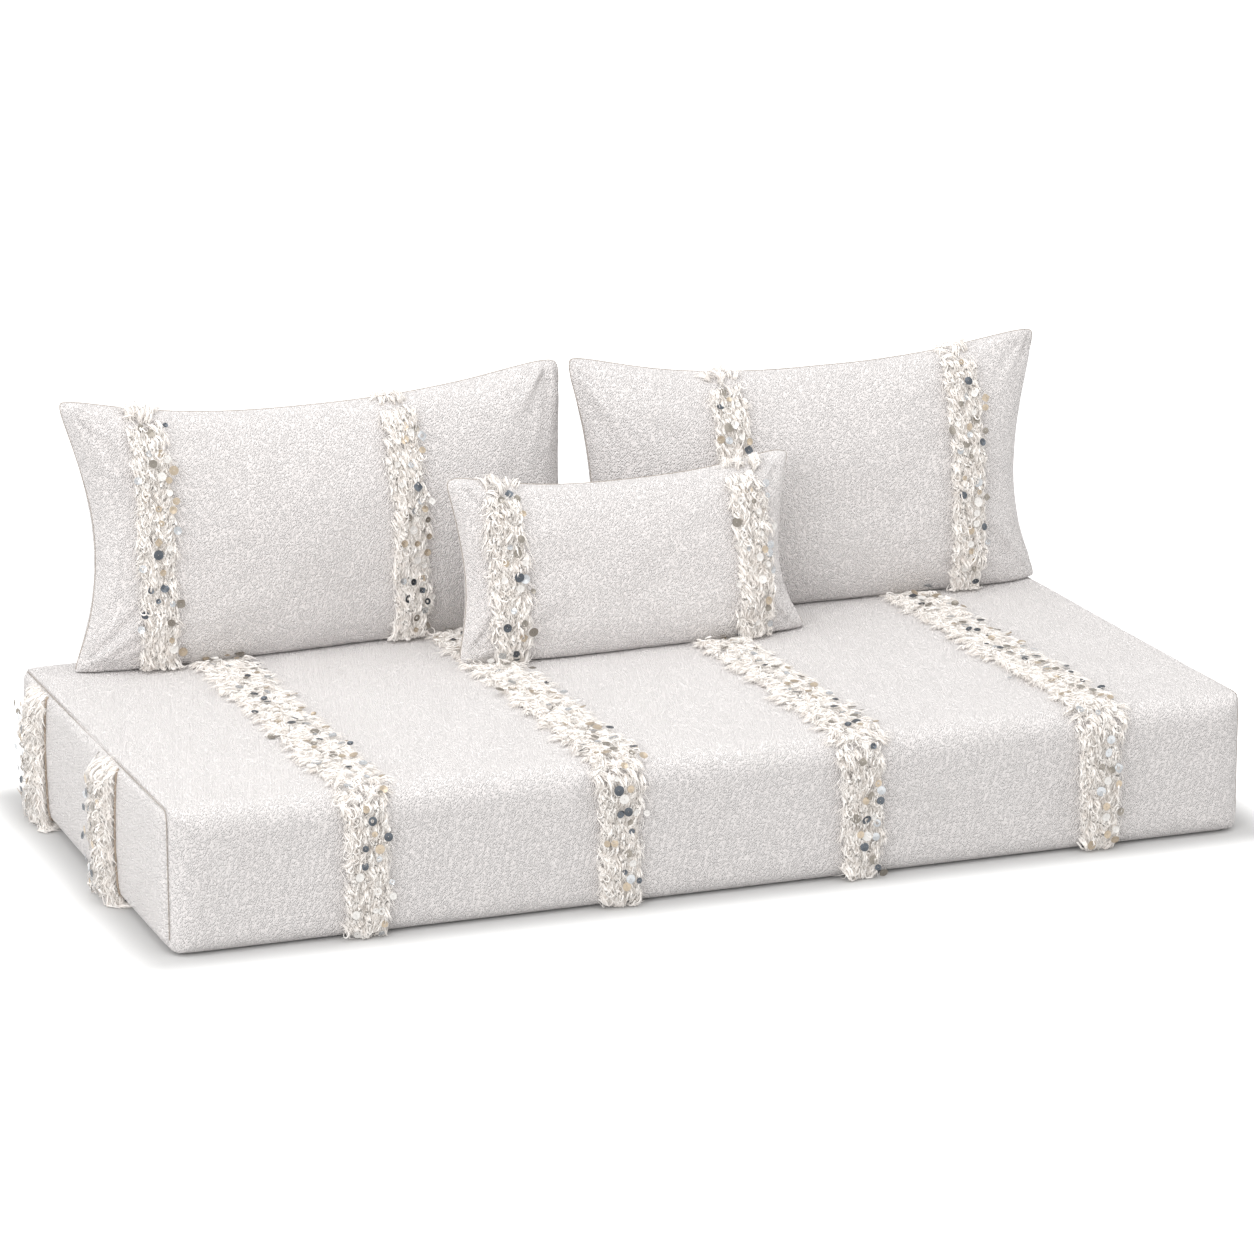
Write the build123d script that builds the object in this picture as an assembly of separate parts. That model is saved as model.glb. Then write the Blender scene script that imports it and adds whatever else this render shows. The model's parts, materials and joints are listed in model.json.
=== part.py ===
from build123d import *
import math
import os

os.makedirs("parts", exist_ok=True)

# A floor sofa of the majlis kind: a long boxed floor mattress that lies on its base, two large back
# cushions and one lumbar cushion that stand on it, and shaggy fringe bands with sewn sequins.
# Millimetres. X runs to the right, Y to the back, Z up. The origin is the middle of the seat's base.

# Cloth and the fits that all pieces share
cover_wall = 3
layer_gap = 0.3
fill_gap = 0.5

# Seat
seat_width = 2000
seat_depth = 990
seat_height = 256
seat_top_radius = 45
seat_base_radius = 22
seat_corner_radius = 32
seat_end_radius = 14
seat_end_seam_inset = 20
seat_base_seam_height = 12
seat_wadding = 20

# Fringe bands on the seat. A band's rows lie like shingles, thin at the root and thick at the tips.
seat_band_width = 106
seat_band_middle_shares = (-0.328, -0.101, 0.123, 0.352)
seat_row_pitch = 27
seat_pile = 20
seat_top_pile = 13
fringe_root = 5
pressed_pile = 2
fringe_floor_gap = 2
end_band_width = 92
end_band_middle_shares = (-0.147, 0.333)
end_row_pitch = 30
end_pile = 32

# Fringe bands and rows on the cushions
cushion_band_width = 88
cushion_pile = 18
cushion_row_pitch = 32

# Sequins: thin discs sewn flat on the tufts, cut as even polygons that read as round
sequin_radius = 6.5
sequin_sides = 8
sequin_thickness = 0.6
sequin_spread_share = 0.24
sequin_middle_share = 0.18
sequin_turn = 137.5

# Back cushions, a pair of one size that shares the seat's length between two end insets
left_cushion_end_inset = 80
right_cushion_end_inset = 0
back_width = (seat_width - left_cushion_end_inset - right_cushion_end_inset) / 2
back_height = 495
back_middle_height = 442
back_half_thickness = 84
back_drawn_side = 52
back_tip_cut = 14
back_base_squash = 20

# Lumbar cushion
lumbar_width = 672
lumbar_height = 345
lumbar_middle_height = 305
lumbar_half_thickness = 64
lumbar_drawn_side = 32
lumbar_tip_cut = 12
lumbar_base_squash = 16

# Where the cushions stand: distance from the seat's back edge to the middle of the foot
left_cushion_setback = 62
left_cushion_yaw = 5
left_cushion_lean = 4
left_band_middle_shares = (-0.352, 0.158)
right_cushion_setback = 88
right_cushion_yaw = 0
right_cushion_lean = 4
right_band_middle_shares = (-0.182, 0.315)
lumbar_offset = 80
lumbar_setback = 290
lumbar_yaw = 2
lumbar_lean = 9
lumbar_band_middle_shares = (-0.365, 0.348)

# A cushion's level lines, from the seam to the crown: depth as a share of the half thickness, and
# the line's size as a share of the seam's. Its drawn-in sides are cut as chords.
level_depth_shares = (0.0, 0.32, 0.6, 0.82, 0.95, 1.0)
level_size_shares = (1.0, 0.975, 0.9, 0.76, 0.54, 0.28)
upright_side_chords = 6
top_side_chords = 8
levels_under_zip_count = 3
foot_reach_share = 0.62
core_share = 0.1
band_curve_steps = 180

# Zips: two coils sewn on two tapes, a slider that straddles them and a pull tab on a pin
zip_gap = 1.6
coil_width = 2.2
coil_height = 2.1
coil_bevel = 0.9
tape_width = 10
tape_thickness = 0.8
zip_clearance = 0.3
stop_length = 3
slider_length = 11
slider_plate = 1.2
slider_flange = 0.9
slider_nose_share = 0.72
slider_web_length = 3
pin_radius = 0.7
eye_wall = 1
eye_width = 3
ear_wall = 0.9
pull_length = 27
pull_width = 6
pull_thickness = 1.6
cushion_zip_length_share = 0.48
seat_zip_end_clearance = 150
seat_zip_length = seat_width - 2 * seat_zip_end_clearance
seat_zip_height = 60
seat_back_band_clearance = 32


def slab(low_x, high_x, low_y, high_y, low_z, high_z):
    """A box between two corners."""
    size = (high_x - low_x, high_y - low_y, high_z - low_z)
    return Pos(low_x, low_y, low_z) * Box(*size, align=(Align.MIN, Align.MIN, Align.MIN))


def write(name, shape):
    """Writes one piece, or a group of like pieces, to its own file."""
    solids = shape.solids() if hasattr(shape, "solids") else ShapeList(shape)
    export_step(Compound(children=list(solids)) if len(solids) > 1 else solids[0], f"parts/{name}.step")


# Seat

def rounded_profile(plane, half_width, low, high, low_radius, high_radius):
    """A rectangle with its own corner radius at the bottom and at the top, as a face on a plane."""
    corners = [(-half_width, low), (half_width, low), (half_width, high), (-half_width, high)]
    wire = Wire([Line(a, b) for a, b in zip(corners, corners[1:] + corners[:1])])
    for level, radius in ((low, low_radius), (high, high_radius)):
        wire = wire.fillet_2d(radius, [v for v in wire.vertices() if abs(v.Y - level) < fill_gap])
    return plane * Face(wire)


def seat_form(inset):
    """The seat's rounded block, drawn in by inset on every side."""
    half_width, half_depth = seat_width / 2 - inset, seat_depth / 2 - inset
    top, base = seat_height - inset, inset
    lengthwise = rounded_profile(
        Plane.YZ, half_depth, base, top, seat_base_radius - inset, seat_top_radius - inset
    )
    crosswise = rounded_profile(
        Plane.XZ, half_width, base, top, seat_base_radius - inset, seat_end_radius - inset
    )
    plan = rounded_profile(
        Plane.XY, half_width, -half_depth, half_depth,
        seat_corner_radius - inset, seat_corner_radius - inset,
    )
    block = extrude(lengthwise, amount=seat_width, both=True)
    block &= extrude(crosswise, amount=seat_depth, both=True)
    return block & extrude(plan, amount=seat_height, dir=(0, 0, 1))


# Zips

def zip_half_width():
    """From the middle of a zip to the outside of its coil."""
    return zip_gap / 2 + coil_width


def slider_half_width():
    return zip_half_width() + zip_clearance + slider_flange


def zip_levels():
    """Heights in the zip's own frame, where zero is the cover's outside and up is out of it."""
    coil_low = -cover_wall
    coil_high = coil_low + coil_height
    plate_low = coil_high + zip_clearance
    tape_low = coil_low - tape_thickness
    sole_high = tape_low - zip_clearance
    return coil_low, coil_high, plate_low, tape_low, sole_high, sole_high - slider_plate


def zip_slot(length):
    """The slit in the cover that the slider runs in."""
    half_width = slider_half_width() + zip_clearance
    half_length = length / 2 + slider_length / 2
    return slab(-half_length, half_length, -half_width, half_width, -2 * cover_wall, cover_wall)


def zip_pocket(length):
    """The hollow behind the cover for the tapes and the slider's sole."""
    half_width = zip_gap / 2 + tape_width + fill_gap
    half_length = length / 2 + slider_length / 2
    floor = zip_levels()[-1] - fill_gap
    return slab(-half_length, half_length, -half_width, half_width, floor, -cover_wall)


def zip_tapes(length):
    coil_low, _, _, tape_low, _, _ = zip_levels()
    reach = length / 2 + slider_length / 4
    one = slab(-reach, reach, zip_gap / 2, zip_gap / 2 + tape_width, tape_low, coil_low)
    return [one, mirror(one, Plane.XZ)]


def zip_chain(length):
    """Both coils, and the stop that closes the chain at each end."""
    coil_low, coil_high, _, _, _, _ = zip_levels()
    half_length = length / 2 - stop_length
    coil = slab(-half_length, half_length, zip_gap / 2, zip_half_width(), coil_low, coil_high)
    top_edges = coil.edges().filter_by(Axis.X).group_by(Axis.Z)[-1]
    coil = chamfer(top_edges, coil_bevel)
    half_width = zip_half_width()
    stop = slab(half_length, length / 2, -half_width, half_width, coil_low, coil_high)
    return [coil, mirror(coil, Plane.XZ), stop, mirror(stop, Plane.YZ)]


def slider_middle(length):
    """Where the slider stands with the zip closed, along the zip."""
    return length / 2 - stop_length - zip_clearance - slider_web_length / 2


def slider_travel(length):
    return 2 * slider_middle(length)


def pin_height():
    """The pull's pin, above the cover's outside."""
    return zip_levels()[2] + slider_plate + zip_clearance + pin_radius + zip_clearance + eye_wall


def zip_slider(length):
    """Two plates joined by a web between the coils, guide flanges, two ears and a pin."""
    coil_low, coil_high, plate_low, _, sole_high, sole_low = zip_levels()
    half_width = slider_half_width()
    half_length = slider_length / 2
    nose = half_width * slider_nose_share
    outline = [
        (-half_length, -nose), (half_length - nose, -half_width), (half_length, -half_width),
        (half_length, half_width), (half_length - nose, half_width), (-half_length, nose),
    ]
    plate = Pos(0, 0, plate_low) * extrude(make_face(Polyline(*outline, close=True)), slider_plate)
    sole = Pos(0, 0, sole_low) * extrude(make_face(Polyline(*outline, close=True)), slider_plate)
    web_half = zip_gap / 2 - zip_clearance
    half_web = slider_web_length / 2
    web = slab(-half_web, half_web, -web_half, web_half, sole_high, plate_low)
    guide_y = half_width - slider_flange
    guide_low = coil_low + zip_clearance
    guide = slab(half_length - nose, half_length, guide_y, half_width, guide_low, plate_low)
    ear_y = eye_width / 2 + zip_clearance
    ear_top = pin_height() + pin_radius + zip_clearance
    ear_reach = pin_radius + zip_clearance
    plate_high = plate_low + slider_plate
    ear = slab(-ear_reach, ear_reach, ear_y, ear_y + ear_wall, plate_high, ear_top)
    pin = Pos(0, 0, pin_height()) * Rot(90, 0, 0) * Cylinder(pin_radius, 2 * ear_y + ear_wall)
    body = plate + sole + web + guide + mirror(guide, Plane.XZ) + ear + mirror(ear, Plane.XZ) + pin
    return [Pos(slider_middle(length), 0, 0) * body]


def zip_pull(length):
    """A tab with an eye round the slider's pin, lying back along the zip."""
    eye_radius = pin_radius + zip_clearance + eye_wall
    eye = Rot(90, 0, 0) * Cylinder(eye_radius, eye_width)
    half_thickness = pull_thickness / 2
    neck = slab(-slider_length / 2, 0, -eye_width / 2, eye_width / 2, -half_thickness, half_thickness)
    tab = slab(
        -pull_length, -slider_length / 2, -pull_width / 2, pull_width / 2,
        -half_thickness, half_thickness,
    )
    tab = chamfer(tab.edges().filter_by(Axis.Z), pull_width / 4)
    bore = Rot(90, 0, 0) * Cylinder(pin_radius + zip_clearance, pull_width)
    pull = eye + neck + tab - bore
    return [Pos(slider_middle(length), 0, pin_height()) * pull]


def write_zip(name, place, length):
    """Writes a zip's pieces where the plane or place puts them, and says where its joints are."""
    write(f"{name}_zip_tapes", [place * piece for piece in zip_tapes(length)])
    write(f"{name}_zip_chain", [place * piece for piece in zip_chain(length)])
    write(f"{name}_zip_slider", [place * piece for piece in zip_slider(length)])
    write(f"{name}_zip_pull", [place * piece for piece in zip_pull(length)])
    middle = place * Pos(slider_middle(length), 0, pin_height())
    along = (place * Pos(slider_length, 0, 0)).position - place.position
    across = (place * Pos(0, slider_length, 0)).position - place.position
    print(name, "zip travel", slider_travel(length), "pin", middle.position)
    print(name, "zip runs along", along.normalized(), "and its pin lies along", across.normalized())


# Fringe bands

def row_marks(length, pitch):
    """Places that share a length into equal rows of about one pitch."""
    rows = max(1, round(length / pitch))
    return [length * row / rows for row in range(rows + 1)]


def sequin_at(middle, outward):
    """A disc whose flat side faces outward, seated by the small gap on the tufts."""
    seat = Plane(origin=middle, z_dir=outward)
    disc = extrude(RegularPolygon(sequin_radius, sequin_sides), sequin_thickness)
    return seat.location * Pos(0, 0, layer_gap) * disc


def sequin_offset(row):
    """How far a row's sequin lies from the band's middle, as a share of the band's width."""
    return sequin_middle_share + sequin_spread_share * math.sin(math.radians(sequin_turn * row))


def seat_run(way):
    """A point on the seat's skin at a distance along a band, with its outward direction."""
    half_depth = seat_depth / 2
    rise = seat_height - seat_top_radius - fringe_floor_gap
    quarter = seat_top_radius * math.pi / 2
    top = seat_depth - 2 * seat_top_radius
    level = seat_height - seat_top_radius
    if way <= rise:
        return (-half_depth, fringe_floor_gap + way), (-1, 0)
    way -= rise
    if way <= quarter:
        turn = way / seat_top_radius
        out = (-math.cos(turn), math.sin(turn))
        return (-half_depth + seat_top_radius * (1 + out[0]), level + seat_top_radius * out[1]), out
    way -= quarter
    if way <= top:
        return (-half_depth + seat_top_radius + way, seat_height), (0, 1)
    way -= top
    if way <= quarter:
        turn = way / seat_top_radius
        out = (math.sin(turn), math.cos(turn))
        return (half_depth - seat_top_radius * (1 - out[0]), level + seat_top_radius * out[1]), out
    return (half_depth, level - (way - quarter)), (1, 0)


def seat_run_off(way, height):
    """The point at a height off the seat's skin."""
    (y, z), (out_y, out_z) = seat_run(way)
    return y + height * out_y, z + height * out_z


def seat_band(middle, pressed):
    """A fringe band over the seat, and its sequins. Where a cushion stands, it is pressed flat."""
    quarter = seat_top_radius * math.pi / 2
    bends = [0]
    bends.append(bends[-1] + seat_height - seat_top_radius - fringe_floor_gap)
    bends.append(bends[-1] + quarter)
    bends.append(bends[-1] + seat_depth - 2 * seat_top_radius)
    bends.append(bends[-1] + quarter)
    bends.append(bends[-1] + seat_height - seat_top_radius - seat_zip_height - seat_back_band_clearance)
    marks = [0]
    for start, stop in zip(bends, bends[1:]):
        marks += [start + mark for mark in row_marks(stop - start, seat_row_pitch)[1:]]
    edges, sequins, tip = [], [], None
    for row, (low, high) in enumerate(zip(marks, marks[1:])):
        way = (low + high) / 2
        near_y, far_y = seat_run(low)[0][0], seat_run(high)[0][0]
        under = any(far_y > near and near_y < far for near, far in pressed)
        flat = under and bends[2] < way < bends[4]
        pile = seat_top_pile if bends[1] < way < bends[4] else seat_pile
        start_pile, stop_pile = (fringe_root, pile) if way > bends[3] else (pile, fringe_root)
        if flat:
            start_pile = stop_pile = pressed_pile
        start, stop = seat_run_off(low, start_pile), seat_run_off(high, stop_pile)
        if tip and math.dist(tip, start) > layer_gap:
            edges.append(Line((0, *tip), (0, *start)))
        if flat and way > bends[3]:
            edges.append(ThreePointArc((0, *start), (0, *seat_run_off(way, pressed_pile)), (0, *stop)))
        else:
            edges.append(Line((0, *start), (0, *stop)))
        tip = stop
        if row % 2 == 0 and not flat:
            y, z = (start[0] + stop[0]) / 2, (start[1] + stop[1]) / 2
            spot = (middle + seat_band_width * sequin_offset(row), y, z)
            sequins.append(sequin_at(spot, (0, start[1] - stop[1], stop[0] - start[0])))
    skin = [seat_run_off(way, layer_gap) for way in bends]
    turns = [seat_run_off(bends[index] + quarter / 2, layer_gap) for index in (1, 3)]
    edges.append(Line((0, *tip), (0, *skin[5])))
    edges.append(Line((0, *skin[5]), (0, *skin[4])))
    edges.append(ThreePointArc((0, *skin[4]), (0, *turns[1]), (0, *skin[3])))
    edges.append(Line((0, *skin[3]), (0, *skin[2])))
    edges.append(ThreePointArc((0, *skin[2]), (0, *turns[0]), (0, *skin[1])))
    edges.append(Line((0, *skin[1]), (0, *skin[0])))
    edges.append(Line((0, *skin[0]), (0, *seat_run_off(0, seat_pile))))
    band = extrude(Face(Wire(edges)), amount=seat_band_width / 2, dir=(1, 0, 0), both=True)
    return Pos(middle, 0, 0) * band, sequins


def end_band(middle, side):
    """A fringe band that hangs down one end of the seat, and its sequins."""
    reach = seat_width / 2
    top = seat_height - seat_end_radius
    marks = row_marks(top - fringe_floor_gap, end_row_pitch)
    tips = []
    for low, high in zip(marks, marks[1:]):
        tips += [(end_pile, low + fringe_floor_gap), (fringe_root, high + fringe_floor_gap)]
    points = [(side * (reach + out), 0, z) for out, z in tips]
    points += [(side * (reach + layer_gap), 0, top), (side * (reach + layer_gap), 0, fringe_floor_gap)]
    face = Face(Wire([Line(a, b) for a, b in zip(points, points[1:] + points[:1])]))
    band = extrude(face, amount=end_band_width / 2, dir=(0, 1, 0), both=True)
    sequins = []
    for row in range(0, len(marks) - 1, 2):
        a, b = points[2 * row], points[2 * row + 1]
        spot = ((a[0] + b[0]) / 2, middle + end_band_width * sequin_offset(row), (a[2] + b[2]) / 2)
        sequins.append(sequin_at(spot, (side * (b[2] - a[2]), 0, side * (a[0] - b[0]))))
    return Pos(0, middle, 0) * band, sequins


# Cushions

def flat_faced(form):
    """The same form with each of its flat sides as a plane."""
    return Solid(Shell([Face(face.outer_wire()) for face in form.faces()]))


class Cushion:
    """A stuffed cushion whose sides are drawn in between its tips. Its own frame has X across, Y to
    the back and Z up, with the seam in the XZ plane and the foot at zero height."""

    def __init__(self, name, sizes, place, yaw, lean, bands):
        self.name = name
        self.width, self.height, self.middle_height, self.half_thickness = sizes[:4]
        self.drawn_side, self.tip_cut, self.squash = sizes[4:]
        self.x, self.y = place
        self.yaw, self.lean = yaw, lean
        self.bands = [self.width * share for share in bands]
        self.zip_length = self.width * cushion_zip_length_share
        lift = seat_height + layer_gap + pressed_pile + layer_gap
        self.place = Pos(self.x, self.y, lift) * Rot(0, 0, yaw) * Rot(-lean, 0, 0)

    def half_draw(self):
        """From the seam's edge at mid length to the heart, the point that the levels draw in to."""
        return (self.middle_height + self.squash) / 2

    def heart_height(self):
        return self.middle_height - self.half_draw()

    def side_points(self, start, stop, bow, chords):
        """Points along one side of the seam, bowed inward, short of the tips by their cut."""
        length = math.dist(start, stop)
        way = ((stop[0] - start[0]) / length, (stop[1] - start[1]) / length)
        points = []
        for chord in range(chords + 1):
            along = self.tip_cut + (length - 2 * self.tip_cut) * chord / chords
            share = along / length
            inward = 4 * bow * share * (1 - share)
            points.append((start[0] + way[0] * along - way[1] * inward,
                           start[1] + way[1] * along + way[0] * inward))
        return points

    def seam_points(self, inset):
        """The seam's outline, as places across and up: a straight foot and three drawn-in sides."""
        half_width = self.width / 2 - inset
        base, top = inset - self.squash, self.height - inset
        tips = [(-half_width, base), (half_width, base), (half_width, top), (-half_width, top)]
        top_bow = self.height - self.middle_height
        points = self.side_points(tips[0], tips[1], 0, 1)
        points += self.side_points(tips[1], tips[2], self.drawn_side, upright_side_chords)
        points += self.side_points(tips[2], tips[3], top_bow, top_side_chords)
        return points + self.side_points(tips[3], tips[0], self.drawn_side, upright_side_chords)

    def base_line(self, level):
        """A level's straight bottom line, as its depth and height."""
        height = self.heart_height() - level_size_shares[level] * self.half_draw()
        return self.half_thickness * level_depth_shares[level], height

    def level_wire(self, level, inset, side):
        """The outline at one level, drawn in to the heart."""
        depth = side * (self.half_thickness - inset) * level_depth_shares[level]
        size = level_size_shares[level]
        heart = self.heart_height()
        points = [
            Vector(x * size, depth, heart + (z - heart) * size) for x, z in self.seam_points(inset)
        ]
        return Wire.make_polygon(points)

    def half(self, side, inset):
        """The front (side -1) or back (side 1) half of the form, drawn in by inset."""
        levels = range(len(level_depth_shares))
        return flat_faced(Solid.make_loft([self.level_wire(level, inset, side) for level in levels], True))

    def above(self, height):
        """The space over the foot's flat, which lies level once the cushion leans."""
        reach = self.width
        return Rot(self.lean, 0, 0) * slab(-reach, reach, -reach, reach, height, 2 * self.height)

    def zip_place(self):
        """The flat on the lower back that the zip is sewn in, as a place with up out of the cushion."""
        (low_y, low_z), (high_y, high_z) = (
            self.base_line(level) for level in (levels_under_zip_count, levels_under_zip_count + 1)
        )
        middle = (0, (low_y + high_y) / 2, (low_z + high_z) / 2)
        flat = Plane(origin=middle, x_dir=(1, 0, 0), z_dir=(0, high_z - low_z, low_y - high_y))
        return flat.location

    def layer(self, side, inset):
        """One half of the form at an inset, cut at the foot."""
        return self.half(side, inset) & self.above(inset)

    def skin_point(self, form, origin, way):
        """Where a ray from inside leaves the form."""
        spots = [spot for spot, _ in form.find_intersection_points(Axis(origin, way))]
        return max(spots, key=lambda spot: (spot - origin).dot(way))

    def row_turns(self):
        """The ends of a band's rows, evenly along the skin, as angles round the middle section."""
        steps = [math.pi * step / band_curve_steps for step in range(band_curve_steps + 1)]
        shape = [
            (self.half_thickness * math.sin(turn), self.half_draw() * math.cos(turn)) for turn in steps
        ]
        ways = [0]
        for a, b in zip(shape, shape[1:]):
            ways.append(ways[-1] + math.dist(a, b))
        rows = max(2, round(ways[-1] / cushion_row_pitch))
        ends = [ways[-1] * row / rows for row in range(rows)]
        return [steps[next(i for i, way in enumerate(ways) if way >= end)] for end in ends] + [math.pi]

    def band_points(self, form, across, turns):
        """The outer points of a band's saw-toothed section, from its top row down to the foot."""
        heart = Vector(across, 0, self.heart_height())
        top = self.skin_point(form, heart, Vector(0, -layer_gap, self.half_draw()).normalized())
        base = Vector(across, 0, -self.squash)
        spots, ways = [top], [Vector(0, 0, 1)]
        for turn in turns[1:-1]:
            share = math.cos(turn)
            height = heart.Z + share * (top.Z - heart.Z if share > 0 else heart.Z - base.Z)
            spots.append(self.skin_point(form, Vector(across, 0, height), Vector(0, -1, 0)))
            slope = Vector(0, -math.sin(turn) * self.half_draw(), share * self.half_thickness)
            ways.append(slope.normalized())
        spots.append(base)
        ways.append(Vector(0, 0, -1))
        points = []
        for row in range(len(turns) - 1):
            points.append(spots[row] + ways[row] * fringe_root)
            points.append(spots[row + 1] + ways[row + 1] * cushion_pile)
        return points

    def band_outline(self, points):
        """Closes a band's section inside the cushion."""
        core = Vector(points[0].X, -core_share * self.half_thickness, self.heart_height())
        corners = points + [core]
        return Wire([Line(a, b) for a, b in zip(corners, corners[1:] + corners[:1])])

    def sequin_on(self, form, upper, lower, share):
        """A sequin on one row of tufts, between the row's upper and lower line, clear of the cushion."""

        def on_row(across, down):
            (high_left, high_right), (low_left, low_right) = upper, lower
            high = high_left * (1 - across) + high_right * across
            low = low_left * (1 - across) + low_right * across
            return high * (1 - down) + low * down

        middle = on_row(share, 0.5)
        fall = on_row(share, 1) - on_row(share, 0)
        across = on_row(1, 0.5) - on_row(0, 0.5)
        outward = fall.cross(across).normalized()
        reach, drop = sequin_radius / across.length, sequin_radius / fall.length
        under = [on_row(share + a * reach, 0.5 + b * drop) for a in (-1, 1) for b in (-1, 1)]
        for spot in list(under):
            origin = Vector(spot.X, 0, spot.Z)
            under += [hit for hit, _ in form.find_intersection_points(Axis(origin, Vector(0, -1, 0)))]
        lift = max([(spot - middle).dot(outward) for spot in under] + [0])
        return sequin_at(middle + outward * lift, outward)

    def band(self, form, middle):
        """A fringe band down the front, and its sequins."""
        turns = self.row_turns()
        ends = [middle - cushion_band_width / 2, middle + cushion_band_width / 2]
        left, right = (self.band_points(form, across, turns) for across in ends)
        outlines = [self.band_outline(points) for points in (left, right)]
        band = (Solid.make_loft(outlines, True) & self.above(0)) - form
        sequins = []
        for row in range(1, len(turns) - 2, 2):
            upper, lower = ((left[end], right[end]) for end in (2 * row, 2 * row + 1))
            sequins.append(self.sequin_on(form, upper, lower, sequin_offset(row) + 0.5))
        return band, sequins

    def build(self):
        """Makes and writes every piece of the cushion."""
        slot = self.zip_place() * zip_slot(self.zip_length)
        pocket = self.zip_place() * zip_pocket(self.zip_length)
        front = self.layer(-1, 0) - self.layer(-1, cover_wall)
        back = self.layer(1, 0) - self.layer(1, cover_wall) - slot - pocket
        inner = cover_wall + fill_gap
        filling = self.layer(-1, inner) + self.layer(1, inner) - pocket
        write(f"{self.name}_cover_front", self.place * front)
        write(f"{self.name}_cover_back", self.place * back)
        write(f"{self.name}_filling", self.place * filling)
        whole = self.half(-1, -layer_gap)
        sequins = []
        for number, middle in enumerate(self.bands, 1):
            band, discs = self.band(whole, middle)
            write(f"{self.name}_fringe_{number}", self.place * band)
            sequins += discs
        write(f"{self.name}_sequins", [self.place * disc for disc in sequins])
        write_zip(self.name, self.place * self.zip_place(), self.zip_length)

    def foot_range(self, low_x, high_x):
        """The stretch of the seat, front to back, that the foot and its fringe press."""
        half_depth = foot_reach_share * self.half_thickness + cushion_pile
        reach = self.width / 2
        if high_x < self.x - reach or low_x > self.x + reach:
            return None
        slope = math.tan(math.radians(self.yaw))
        ends = [self.y + (x - self.x) * slope for x in (low_x, high_x)]
        return min(ends) - half_depth, max(ends) + half_depth


back_sizes = (
    back_width, back_height, back_middle_height, back_half_thickness,
    back_drawn_side, back_tip_cut, back_base_squash,
)
lumbar_sizes = (
    lumbar_width, lumbar_height, lumbar_middle_height, lumbar_half_thickness,
    lumbar_drawn_side, lumbar_tip_cut, lumbar_base_squash,
)
left_place = (
    left_cushion_end_inset + back_width / 2 - seat_width / 2,
    seat_depth / 2 - left_cushion_setback,
)
right_place = (
    seat_width / 2 - right_cushion_end_inset - back_width / 2,
    seat_depth / 2 - right_cushion_setback,
)
lumbar_place = (lumbar_offset, seat_depth / 2 - lumbar_setback)
cushions = [
    Cushion("left_cushion", back_sizes, left_place, left_cushion_yaw, left_cushion_lean,
            left_band_middle_shares),
    Cushion("right_cushion", back_sizes, right_place, right_cushion_yaw, right_cushion_lean,
            right_band_middle_shares),
    Cushion("lumbar_cushion", lumbar_sizes, lumbar_place, lumbar_yaw, lumbar_lean,
            lumbar_band_middle_shares),
]


def build_seat():
    """Makes and writes the mattress, its fringe and its zip."""
    far = seat_width
    seam_x = seat_width / 2 - seat_end_seam_inset
    zip_place = Plane(origin=(0, seat_depth / 2, seat_zip_height), x_dir=(1, 0, 0), z_dir=(0, 1, 0))
    zip_place = zip_place.location
    shell = seat_form(0) - seat_form(cover_wall)
    between = slab(-seam_x, seam_x, -far, far, -far, far)
    upper = slab(-far, far, -far, far, seat_base_seam_height, far)
    ends = shell - between
    write("seat_end_panel_left", ends & slab(-far, 0, -far, far, -far, far))
    write("seat_end_panel_right", ends & slab(0, far, -far, far, -far, far))
    middle = shell & between
    write("seat_cover_wrap", (middle & upper) - zip_place * zip_slot(seat_zip_length))
    write("seat_base_panel", middle - upper)
    core_inset = cover_wall + fill_gap + seat_wadding
    half_width, half_depth = seat_width / 2 - core_inset, seat_depth / 2 - core_inset
    core = slab(-half_width, half_width, -half_depth, half_depth, core_inset, seat_height - core_inset)
    write("seat_foam_core", core)
    wadding = seat_form(cover_wall + fill_gap) - core - zip_place * zip_pocket(seat_zip_length)
    write("seat_wadding_wrap", wadding)
    write_zip("seat", zip_place, seat_zip_length)
    for number, share in enumerate(seat_band_middle_shares, 1):
        place = seat_width * share
        low, high = place - seat_band_width / 2, place + seat_band_width / 2
        pressed = [cushion.foot_range(low, high) for cushion in cushions]
        band, discs = seat_band(place, [stretch for stretch in pressed if stretch])
        write(f"seat_fringe_{number}", band)
        write(f"seat_sequins_{number}", discs)
    for side, name in ((-1, "left"), (1, "right")):
        discs = []
        for number, share in enumerate(end_band_middle_shares, 1):
            band, more = end_band(seat_depth * share, side)
            write(f"end_fringe_{name}_{number}", band)
            discs += more
        write(f"end_sequins_{name}", discs)


build_seat()
for cushion in cushions:
    cushion.build()
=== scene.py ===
import json
import math

import bmesh
import bpy
import numpy as np
from mathutils import Matrix, Vector, noise
from mathutils.bvhtree import BVHTree


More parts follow.
